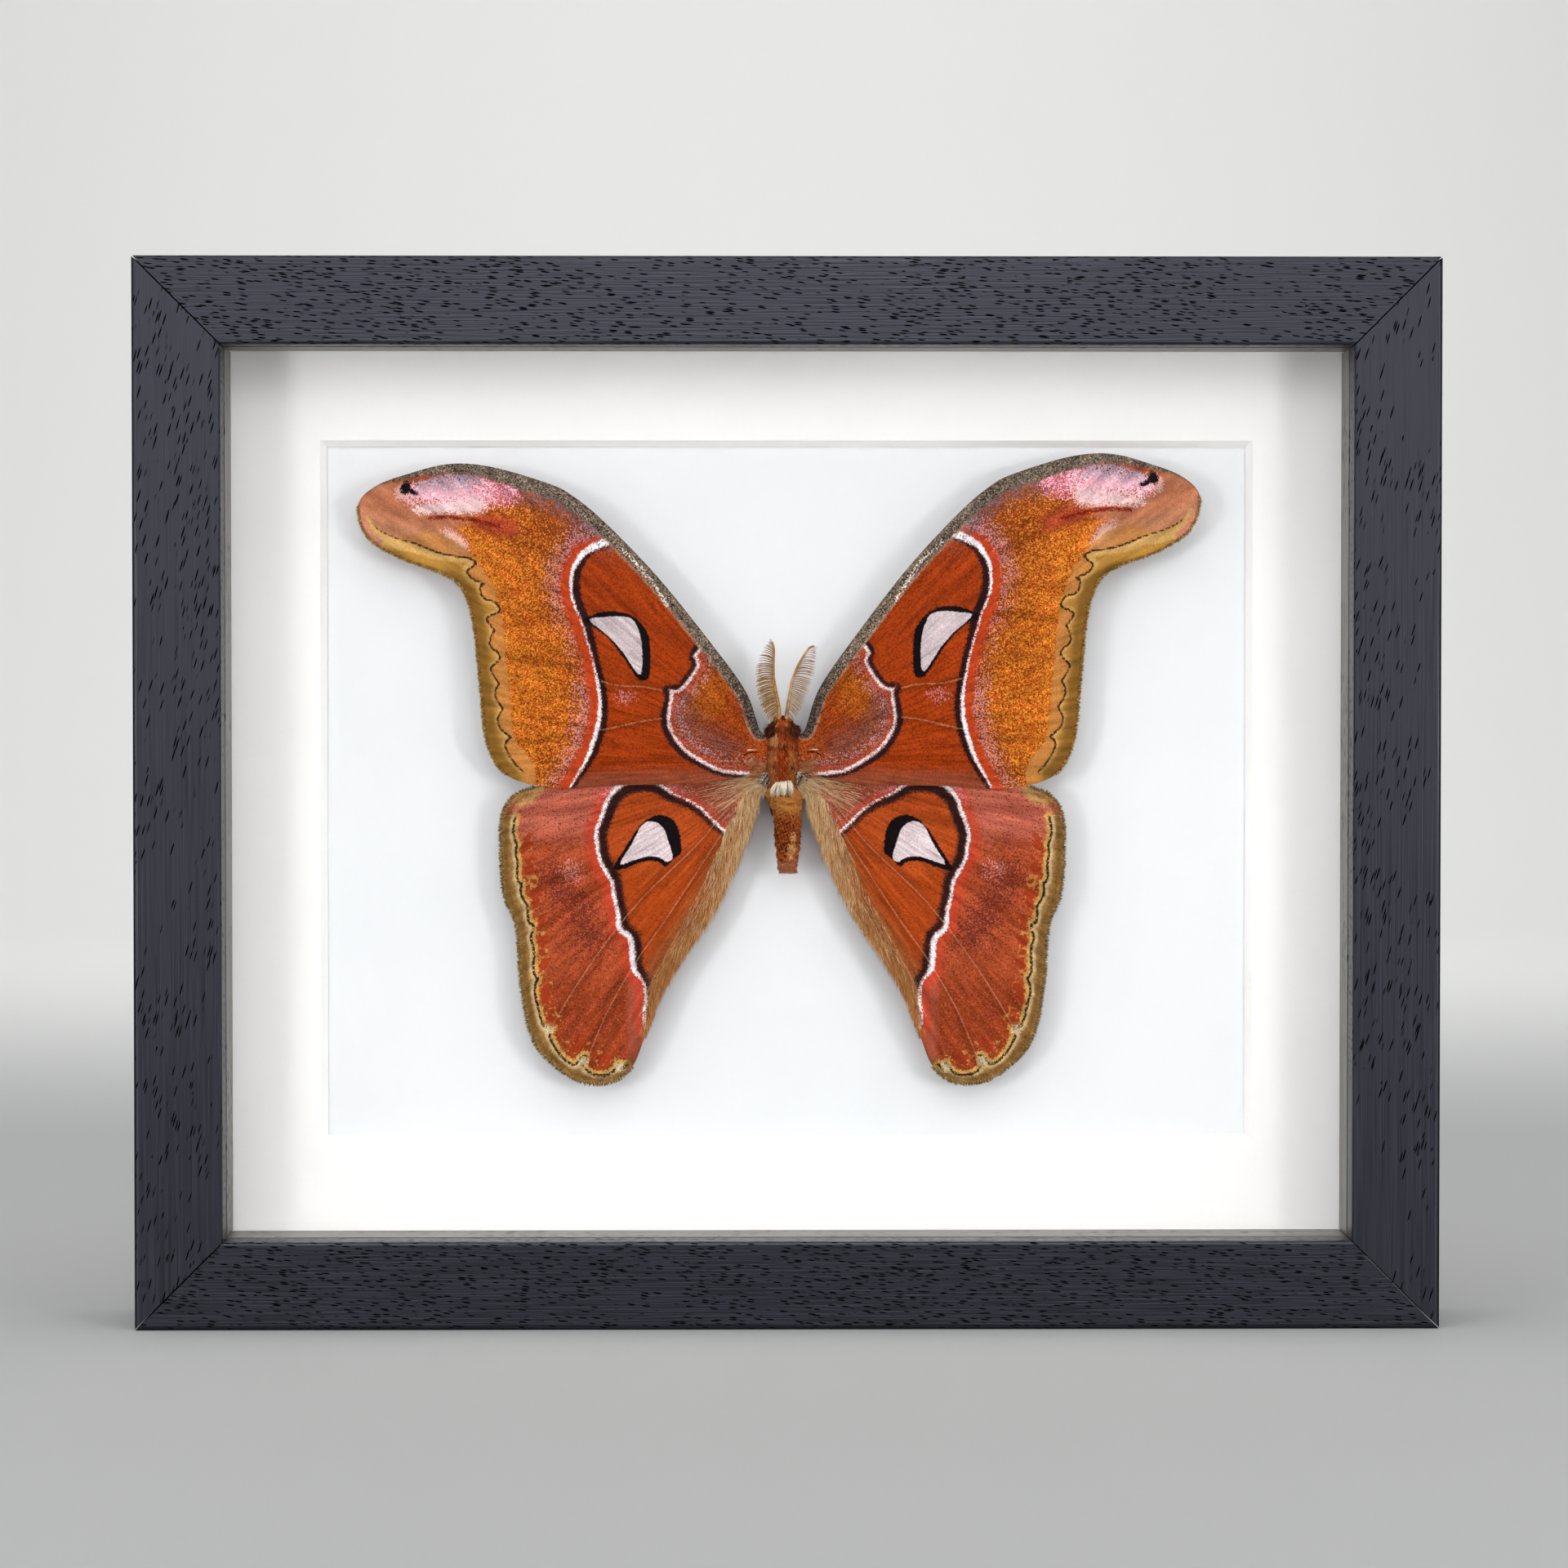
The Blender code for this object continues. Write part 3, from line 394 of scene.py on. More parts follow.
# %% [markdown]
# Curves, distances and sides are worked out for thousands of spots at once with arrays. The
# wing's pattern is drawn the same way: each mark is a distance to a line or the depth inside
# an outline, in millimetres, and the material turns that depth into colour.

# %% Curves and distances
EDGE_STEPS = 8
VEIN_STEPS = 6


def smooth(points, steps, closed=False):
    """A smooth curve through the points, with so many steps for each span."""
    points = np.array(points, float)
    if closed:
        ring = np.vstack([points[-1:], points, points[:2]])
    else:
        ring = np.vstack([2.0 * points[:1] - points[1:2], points, 2.0 * points[-1:] - points[-2:-1]])
    p0, p1, p2, p3 = (ring[k:len(ring) - 3 + k, None, :] for k in range(4))
    t = (np.arange(steps) / steps)[None, :, None]
    curve = 0.5 * (2.0 * p1 + (p2 - p0) * t + (2.0 * p0 - 5.0 * p1 + 4.0 * p2 - p3) * t ** 2
                   + (3.0 * p1 - p0 - 3.0 * p2 + p3) * t ** 3)
    curve = curve.reshape(-1, points.shape[1])
    return curve if closed else np.vstack([curve, points[-1:]])


def lengths(line):
    """How far along the line each of its points lies."""
    return np.concatenate([[0.0], np.cumsum(np.linalg.norm(np.diff(line, axis=0), axis=1))])


def even(line, spacing):
    """The line read again at even steps."""
    run = lengths(line)
    spots = np.linspace(0.0, run[-1], max(2, round(run[-1] / spacing)))
    return np.stack([np.interp(spots, run, line[:, k]) for k in range(line.shape[1])], axis=1)


def nearest(spots, line):
    """Distance of each spot to a line, and how far along the line the nearest point lies."""
    line = np.asarray(line, float)
    best = np.full(len(spots), 1e9)
    along = np.zeros(len(spots))
    for start, run, at in zip(line[:-1], np.diff(line, axis=0), lengths(line)):
        share = np.clip((spots - start) @ run / max(run @ run, 1e-12), 0.0, 1.0)
        away = np.linalg.norm(spots - start - share[:, None] * run, axis=1)
        along = np.where(away < best, at + share * np.linalg.norm(run), along)
        best = np.minimum(best, away)
    return best, along


def nearest_of(spots, lines):
    """Distance of each spot to the nearest of several lines."""
    return np.min([nearest(spots, line)[0] for line in lines], axis=0)


def from_veins(spots, veins):
    """Distance of each spot to the nearest of some veins."""
    return nearest_of(spots, [smooth(vein, VEIN_STEPS) for vein in veins])


def edge_part(outline, first, last):
    """The part of a wing's smooth edge between two points of its outline."""
    return smooth(outline, EDGE_STEPS, closed=True)[EDGE_STEPS * first:EDGE_STEPS * last + 1]


def within(spots, outline):
    """True for each spot inside a closed outline."""
    inside = np.zeros(len(spots), bool)
    for (x0, y0), (x1, y1) in zip(outline, np.roll(outline, -1, axis=0)):
        if y0 == y1:
            continue
        crossed = (y0 > spots[:, 1]) != (y1 > spots[:, 1])
        inside ^= crossed & (spots[:, 0] < x0 + (spots[:, 1] - y0) * (x1 - x0) / (y1 - y0))
    return inside


def beyond(spots, line, far):
    """Distance to the line, above 0 on the side where the far points lie."""
    away = nearest(spots, line)[0]
    return np.where(within(spots, np.vstack([line, far])), away, -away)


def depth_in(spots, outline):
    """Depth inside a closed outline, below 0 outside it."""
    return beyond(spots, np.vstack([outline, outline[:1]]), outline[:1])


def band(value, low, high):
    """Depth inside the band between two values."""
    return np.minimum(value - low, high - value)


# %% [markdown]
# The surface of a wing is a triangle mesh over an even grid, with extra rows of points along
# each vein's crest and its two feet, so that the ridges are sharp. Triangles of 0.6 mm also
# carry the pattern's fine lines.

# %% Wing surface
PITCH = 0.6
ROW_PITCH = 0.87 * PITCH
VEIN_PITCH = 0.45
VEIN_HALF = 0.55
VEIN_RISE = 0.22
VEIN_CELL = 0.28
CLEAR_OF_VEIN = 0.35
CLEAR_OF_RIM = 0.3
WING_T = 0.22


def cover(outline, veins):
    """Flat spots and triangles that cover a wing, its rim's corners first."""
    closed = smooth(outline, EDGE_STEPS, closed=True)
    rim = even(np.vstack([closed, closed[:1]]), PITCH)[:-1]
    crests = [even(smooth(vein, VEIN_STEPS), VEIN_PITCH) for vein in veins]
    rows = []
    for crest in crests:
        run = np.gradient(crest, axis=0)
        side = np.stack([-run[:, 1], run[:, 0]], axis=1) / np.linalg.norm(run, axis=1)[:, None]
        rows += [crest, crest + VEIN_HALF * side, crest - VEIN_HALF * side]
    vein_spots = np.vstack(rows)
    cell = np.round(vein_spots / VEIN_CELL).astype(int)
    vein_spots = vein_spots[np.sort(np.unique(cell, axis=0, return_index=True)[1])]
    low, high = rim.min(axis=0), rim.max(axis=0)
    column, row = np.meshgrid(np.arange(low[0], high[0], PITCH), np.arange(low[1], high[1], ROW_PITCH))
    column = column + np.where(np.arange(len(row)) % 2, PITCH / 2.0, 0.0)[:, None]
    grid = np.stack([column.ravel(), row.ravel()], axis=1)
    grid = grid[nearest_of(grid, crests) > VEIN_HALF + CLEAR_OF_VEIN]
    spots = np.vstack([vein_spots, grid])
    ring = np.vstack([rim, rim[:1]])
    spots = spots[within(spots, rim) & (nearest(spots, ring)[0] > CLEAR_OF_RIM)]
    points = [Vector(p) for p in np.vstack([rim, spots])]
    flat, _, faces, _, _, _ = delaunay_2d_cdt(points, [], [list(range(len(rim)))], 1, 1e-5)
    return np.array([tuple(p) for p in flat]), np.array([tuple(f) for f in faces]), len(rim)


wing_covers = {"forewing": cover(FOREWING, FOREWING_VEINS), "hindwing": cover(HINDWING, HINDWING_VEINS)}
for kind, (spots, triangles, _) in wing_covers.items():
    print(kind, "spots and triangles:", len(spots), len(triangles))

# %% [markdown]
# A piece is a mesh whose points already lie at their place in the model. Its material reads how
# deep each point lies in each mark, so those depths are kept with the mesh. Left and right are
# the same drawing, mirrored.

# %% Pieces and their places
SIGN = {"left": -1.0, "right": 1.0}
WING_ROOT_Y = {"forewing": -2.22, "hindwing": -1.07}
TIP_DROOP = 1.2
HALF_SPAN = 93.2
WAVE = 0.14


def make_piece(name, points, faces, material):
    """A smooth mesh from points in millimetres, placed by its points, riding on the one body."""
    mesh = bpy.data.meshes.new(name)
    mesh.from_pydata((np.asarray(points) * MM).tolist(), [], [tuple(f) for f in faces])
    mesh.validate()
    mesh.shade_smooth()
    piece = put(name, mesh)
    mesh.materials.append(material)
    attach(piece, "root")
    return piece


def keep(mesh, name, values):
    """Keep a number, or a vector of two or three, for each point of a mesh."""
    values = np.asarray(values, float)
    if values.ndim == 1:
        mesh.attributes.new(name, "FLOAT", "POINT").data.foreach_set("value", values)
        return
    full = np.zeros((len(values), 3))
    full[:, :values.shape[1]] = values
    mesh.attributes.new(name, "FLOAT_VECTOR", "POINT").data.foreach_set("vector", full.ravel())


def wing_depth(kind, spots):
    """Depth of a wing's front face, which falls back a little towards the tip."""
    return WING_ROOT_Y[kind] + TIP_DROOP * (spots[:, 0] / HALF_SPAN) ** 2


def waviness(spots):
    """The shallow waves of a dried wing."""
    across, up = spots.T
    return WAVE * np.sin(across * 0.21 + 0.9) * np.sin(up * 0.17 + across * 0.05)


def set_out(side, spots, depth, spread=(1.0, 1.0)):
    """Drawn spots as points of the model: mirrored to their side, spread, and at a depth."""
    x = AXIS_X + SIGN[side] * spots[:, 0] * spread[0]
    return np.stack([x, depth, AXIS_Z + spots[:, 1] * spread[1]], axis=-1)


# %% [markdown]
# Both wings carry the same kinds of marks: a window without scales in a black rim, a white line
# with black on its body side and red beyond it, a fine wavy line near the margin, and fields of
# mixed scales. Small helpers give the depth inside a spot and the share of scattered scales.

# %% Spots and scattered scales
def spot_depth(spots, centre, across, up, lean=0.0):
    """Depth inside an ellipse of two half widths, leaning by an angle."""
    c, s = math.cos(lean), math.sin(lean)
    x, z = (spots - centre).T
    share = np.hypot((c * x + s * z) / across, (c * z - s * x) / up)
    return (1.0 - share) * math.sqrt(across * up)


def density(where, share):
    """A mark of scattered scales: about their share of the scales, less one half."""
    return np.where(where, 1.12 * share, 0.0) - 0.6


print("half of the scales make a mark of %.2f" % density(True, 0.5))


# %% [markdown]
# The forewing's marks. A mark of scattered scales is given as a density less one half, and it
# is ragged by a full 1, so that each scale lies in it or not by chance. The lines' widths change
# along the wing, and the tip has its own patches: a pink one with a black spot at its end, a
# dark red streak and a tan field below it.

# %% Forewing marks
POSTMEDIAL = [
    (34.4, 50.6), (37.4, 49.1), (40.2, 48.0), (43.4, 46.4), (45.0, 44.4), (46.1, 42.1), (46.4, 38.3),
    (45.6, 34.8), (44.1, 31.3), (43.1, 27.8), (41.8, 23.5), (40.8, 18.8), (40.1, 14.1), (40.3, 9.5),
    (41.5, 5.1), (42.7, 1.7), (44.6, -1.8), (47.5, -6.5),
]
ANTEMEDIAL = [
    (16.6, 27.5), (19.8, 24.0), (19.2, 21.9), (20.8, 19.1), (22.8, 16.8), (25.6, 16.4), (25.0, 15.2),
    (25.5, 12.1), (25.7, 9.4), (24.8, 6.4), (22.1, 2.8), (18.2, 0.1), (14.2, -1.9), (10.4, -2.5),
    (5.0, -3.0),
]
FORE_WINDOW = [
    (42.4, 31.7), (39.1, 32.2), (36.4, 32.4), (33.3, 31.9), (31.8, 29.7), (31.0, 26.7), (30.8, 22.7),
    (31.2, 19.6), (32.5, 20.7), (35.2, 24.7), (38.0, 27.8), (40.3, 29.7),
]
FORE_RIM = [
    (43.9, 31.3), (41.8, 32.7), (37.5, 33.6), (33.2, 32.6), (30.1, 29.6), (29.1, 26.1), (29.2, 19.5),
    (30.5, 18.3), (32.0, 18.9), (35.2, 23.6), (38.3, 27.5), (41.8, 30.2),
]
FORE_LINE = [
    (91.0, 54.5), (89.0, 51.6), (85.2, 49.7), (80.5, 48.3), (75.7, 46.4), (71.4, 45.5), (70.0, 45.4),
    (68.5, 45.0), (67.2, 44.1), (68.0, 43.3), (69.3, 42.3), (68.7, 41.2), (67.3, 40.2), (66.0, 39.8),
    (65.5, 39.5), (66.2, 39.0), (66.4, 38.0), (65.9, 36.8), (64.9, 36.0), (63.5, 35.7), (62.6, 35.0),
    (62.0, 34.0), (62.5, 33.2), (63.8, 32.7), (64.9, 32.0), (64.7, 31.2), (63.9, 30.1), (63.3, 29.2),
    (63.9, 28.1), (64.3, 27.0), (64.2, 25.9), (63.6, 25.2), (62.6, 24.6), (62.1, 23.8), (62.2, 22.9),
    (63.1, 22.0), (63.8, 21.4), (64.1, 20.6), (63.5, 19.3), (62.5, 17.9), (62.3, 17.4), (62.9, 16.5),
    (63.1, 15.3), (62.7, 13.7), (61.5, 12.4), (61.8, 11.6), (62.5, 10.2), (62.4, 8.8), (61.6, 7.4),
    (60.3, 6.3), (59.6, 5.8), (60.6, 5.1), (60.9, 4.0), (60.4, 2.5), (59.5, 0.9), (57.1, -1.8),
]
TIP_FIELD = [
    (96.0, 62.0), (86.0, 62.4), (82.6, 59.6), (80.0, 57.0), (77.0, 55.4), (69.0, 53.2), (73.6, 51.4),
    (70.2, 50.0), (68.8, 46.0), (72.0, 38.0), (96.0, 40.0),
]


def forewing_marks(spots):
    """Depth of each spot in every mark of a forewing, in millimetres."""
    across, up = spots.T
    costa = nearest(spots, edge_part(FOREWING, 1, 12))[0]
    margin, at = nearest(spots, edge_part(FOREWING, 12, 21))
    line = beyond(spots, smooth(FORE_LINE, 3), [(57.0, -40.0), (200.0, -40.0), (200.0, 58.0)])
    post = beyond(spots, smooth(POSTMEDIAL, 4),
                  [(48.0, -60.0), (200.0, -60.0), (200.0, 120.0), (30.0, 120.0)])
    ante = beyond(spots, smooth(ANTEMEDIAL, 4),
                  [(5.0, -60.0), (200.0, -60.0), (200.0, 120.0), (16.0, 120.0)])
    white = np.interp(up, [-5.0, 3.0, 10.0, 17.0, 22.0, 32.0, 36.0, 42.0, 46.0, 50.0],
                      [0.15, 0.5, 0.5, 0.36, 0.2, 0.2, 0.26, 0.42, 0.65, 1.05])
    black = np.interp(up, [-5.0, 5.0, 25.0, 30.0, 38.0, 44.0, 47.0, 50.0],
                      [0.9, 1.35, 1.3, 1.7, 1.7, 1.2, 0.5, 0.2])
    vein = from_veins(spots, FOREWING_VEINS[1:])
    pale_vein = from_veins(spots, FOREWING_VEINS[4:6])
    streak = nearest(spots, smooth([(77.5, 53.9), (73.1, 54.1), (67.5, 53.5), (61.8, 52.0)], 4))[0]
    tip = depth_in(spots, np.array(TIP_FIELD))
    pink, pink_at = nearest(spots, [(60.5, 59.8), (70.0, 60.0), (80.5, 59.6)])
    lobe, lobe_at = nearest(spots, [(67.0, 56.6), (72.0, 56.2), (80.0, 55.8)])
    crack = nearest(spots, [(35.5, 47.3), (31.0, 43.0), (28.3, 39.5), (25.2, 34.7)])[0]
    dusk = np.exp(-(nearest(spots, [(12.0, 3.6), (19.0, 7.6), (22.5, 12.5)])[0] / 3.4) ** 2)
    outside = post > 1.2
    costa_w = np.interp(across, [0.0, 8.0, 15.0, 45.0, 60.0, 75.0, 84.0, 90.0],
                        [1.0, 2.2, 2.6, 2.8, 3.0, 1.8, 0.8, 0.0])
    in_costa = costa < costa_w
    far_out = np.interp(post, [1.4, 3.0, 7.0, 14.0, 24.0], [0.45, 0.72, 0.48, 0.32, 0.24])
    near_line = np.interp(post, [1.5, 2.8, 5.0, 8.0], [0.0, 0.6, 0.35, 0.0])
    towards_tip = np.interp(up - 0.3 * (across - 50.0), [43.0, 50.0], [0.0, 0.34])
    grey = np.interp(costa - costa_w, [0.0, 1.5, 5.5], [0.62, 0.4, 0.0]) \
        * np.interp(across, [33.0, 42.0, 60.0, 76.0, 84.0], [0.0, 1.0, 1.0, 0.6, 0.0])
    lilac = np.interp(up + 0.12 * (across - 72.0), [59.4, 60.6, 62.4], [0.0, 0.5, 0.8]) \
        * np.interp(across, [62.0, 68.0, 80.0, 83.0], [0.0, 1.0, 1.0, 0.0])
    pink_share = np.interp(across, [60.0, 65.0, 71.0, 80.0], [0.1, 0.3, 0.4, 0.3])
    pale_share = np.interp(across, [8.0, 14.0, 34.0, 46.0], [0.1, 0.3, 0.32, 0.26])
    scallop = np.interp(at, [10.0, 20.0, 25.0, 30.0], [2.0, 7.4, 8.0, 6.4])
    return {
        "outer field": post,
        "outer gold": density(outside, 0.45 + 0.15 * np.clip((10.0 - margin) / 6.0, 0.0, 1.0)),
        "outer dark": density(outside, far_out + towards_tip),
        "outer rose": density(outside, near_line * np.interp(up, [0.0, 6.0, 14.0, 22.0, 34.0, 42.0],
                                                             [0.7, 1.0, 1.0, 0.4, 0.7, 1.0])),
        "basal field": -ante,
        "basal glow": spot_depth(spots, (17.0, 14.0), 6.5, 4.0, -0.9),
        "basal dusk": density(ante < -1.0, 0.85 * dusk),
        "basal dark": density(ante < -0.8, 0.5),
        "basal frost": density(ante < -0.6, 0.4 * np.exp(-((ante + 2.2) / 2.2) ** 2)),
        "middle dark": density(np.minimum(ante, -post) > 0.0, 0.34),
        # lower shade: a painted shadow of a fold along the forewing's lower edge
        "lower shade": np.where(post < 0.0, band(up, -9.0, -0.6 - 0.03 * across), -5.0),
        # vein shade: painted shade along the veins, for the curve of the membrane beside them
        "vein shade": 1.1 - vein,
        "dust": density(True, 0.45 * np.exp(-((across - 34.8) / 2.6) ** 2 - ((up - 14.6) / 1.8) ** 2)),
        "red beyond": band(post, 0.1, 2.4),
        "red within": band(ante, -2.0, -0.6),
        "white line": white - np.abs(post),
        "black line": band(post, -white - black, -white * 0.8),
        "white inner line": band(ante, -0.95, -0.2),
        "black inner line": band(ante, -0.3, np.interp(up, [-2.0, 2.0, 10.0, 16.0], [0.6, 1.1, 1.2, 0.8])),
        "rim": depth_in(spots, smooth(FORE_RIM, 4, closed=True)),
        "window": depth_in(spots, smooth(FORE_WINDOW, 4, closed=True)),
        "tip field": tip,
        "tip rust": np.minimum(tip, up - 52.2 - 0.3 * (across - 80.0)),
        "tip wedge": spot_depth(spots, (71.8, 49.0), 3.4, 1.5, 0.75),
        "grey grains": density(True, grey),
        "pink patch": 3.1 - pink - 0.09 * np.abs(pink_at - 9.0),
        "rose end": density(pink < 3.4, np.interp(across, [58.0, 62.0, 66.0, 70.0], [0.3, 0.7, 0.5, 0.0])),
        "pink light": density(pink < 2.6, pink_share),
        "lilac": density(pink < 3.6, lilac),
        "pink lobe": 1.8 - lobe - 0.08 * lobe_at,
        "streak glow": 1.7 - nearest(spots, [(66.0, 53.2), (60.0, 51.6)])[0],
        "streak": 0.42 - streak,
        "spot rust": spot_depth(spots, (79.8, 63.4), 5.2, 1.3, -0.2),
        "spot rim": spot_depth(spots, (83.5, 59.7), 1.4, 1.9, 0.3),
        "spot": np.maximum(spot_depth(spots, (82.7, 60.6), 1.15, 1.5, 0.3),
                           spot_depth(spots, (81.0, 59.6), 1.5, 0.55, 0.45)),
        "costa": costa_w - costa,
        "costa dark": density(in_costa, np.interp(across, [8.0, 16.0], [0.75, 0.4])),
        "costa pale": density(in_costa, pale_share),
        "costa edge": band(costa, costa_w - 0.18, costa_w + 0.18)
                      - np.interp(across, [40.0, 50.0], [0.0, 1.0]),
        "crack": 0.2 - crack,
        "root black": 0.2 - nearest(spots, [(5.0, 2.7), (7.2, 2.5), (9.2, 1.5)])[0],
        "root white": 0.16 - nearest(spots, [(5.0, 3.3), (7.4, 3.1), (9.6, 2.1)])[0],
        "scallop tan": np.minimum(-line, scallop - margin),
        "margin band": line,
        "cream line": band(line, 0.1, np.interp(at, [8.0, 20.0, 34.0], [3.0, 1.8, 0.75])),
        "margin smudge": 2.9 - margin + np.interp(at, [20.0, 32.0], [-3.4, 0.0]),
        "tip rose": np.minimum(1.7 - margin, 11.0 - at),
        "edge brown": 0.5 - margin,
        "margin line": 0.26 - np.abs(line) - np.interp(at, [0.0, 6.0, 22.0], [0.4, 0.12, 0.0]),
        "pale veins": np.where(np.minimum(ante, -post) > 0.5, 0.13 - pale_vein, -1.0),
    }


forewing_depths = forewing_marks(wing_covers["forewing"][0])
print("forewing marks:", len(forewing_depths))

# %% [markdown]
# The hindwing's marks. One black and white line runs round the whole inner field, from the body
# over the top and down to the inner margin. Small gold loops round red blotches line the
# margin, and long tan hair covers the edge beside the body.

# %% Hindwing marks
RING = [
    (8.0, -18.0), (11.8, -15.6), (15.3, -12.6), (17.6, -10.2), (20.6, -8.2), (24.3, -6.5),
    (27.5, -4.3), (31.5, -3.7), (35.3, -4.6), (38.1, -7.4), (39.4, -10.7), (40.9, -15.0),
    (40.7, -17.8), (40.0, -21.5), (37.6, -25.8), (37.1, -29.0), (36.2, -32.8), (35.8, -36.2),
    (33.4, -38.5), (33.0, -42.7), (32.5, -45.6), (30.7, -47.9), (30.0, -51.7), (30.4, -55.5),
    (30.0, -58.3), (27.0, -62.0),
]
HIND_WINDOW = [
    (35.8, -22.0), (33.3, -17.9), (31.0, -13.6), (28.6, -12.7), (26.3, -14.1), (24.9, -17.9),
    (24.2, -20.6), (25.4, -21.6), (27.2, -20.6), (30.1, -20.4), (33.0, -21.3),
]
HIND_RIM = [
    (37.6, -23.4), (35.6, -20.0), (33.3, -16.3), (30.5, -12.6), (27.2, -11.2), (24.2, -12.2),
    (22.7, -15.0), (22.3, -19.3), (23.6, -20.6), (25.8, -22.7), (27.2, -21.7), (29.5, -21.4),
    (31.9, -21.9), (34.2, -22.9),
]
HIND_LINE = [
    (58.7, -11.5), (59.1, -13.4), (59.2, -15.5), (58.7, -17.2), (58.5, -17.9), (58.7, -19.7),
    (58.3, -21.9), (58.4, -24.5), (58.2, -25.9), (57.4, -26.3), (57.5, -27.0), (57.6, -28.5),
    (56.9, -30.1), (56.1, -31.5), (56.1, -33.3), (55.8, -35.0), (54.9, -35.4), (54.9, -36.3),
    (55.4, -38.4), (54.9, -40.1), (54.7, -42.3), (54.9, -44.5), (54.6, -46.5), (53.9, -47.2),
    (54.4, -48.5), (54.6, -50.4), (54.0, -52.9), (53.3, -56.0), (52.4, -58.0), (51.0, -57.9),
    (51.4, -59.6), (50.4, -61.9), (49.0, -64.1), (47.3, -65.7), (45.6, -66.2), (44.2, -64.6),
    (43.3, -64.3), (44.0, -66.6), (42.3, -68.1), (40.4, -68.6), (38.1, -68.3), (36.4, -66.6),
    (35.9, -66.0), (35.6, -67.2), (34.2, -66.2),
]
VEIN_TIPS = [(51.6, -58.6), (44.0, -65.4), (36.0, -66.8)]
LOOPS = [
    (56.2, -17.8, 1.3, 2.3, 0.25), (55.6, -23.4, 1.2, 2.6, 0.0), (54.6, -29.2, 1.3, 2.9, 0.2),
    (53.2, -34.6, 1.1, 1.8, 0.3), (53.0, -38.6, 1.2, 2.4, 0.0), (52.6, -43.4, 1.2, 2.5, 0.1),
    (52.2, -50.6, 1.3, 3.0, 0.1), (50.6, -56.4, 1.4, 2.2, 0.3), (45.0, -61.8, 2.4, 1.5, -0.5),
    (39.4, -64.8, 2.6, 1.4, 0.1),
]


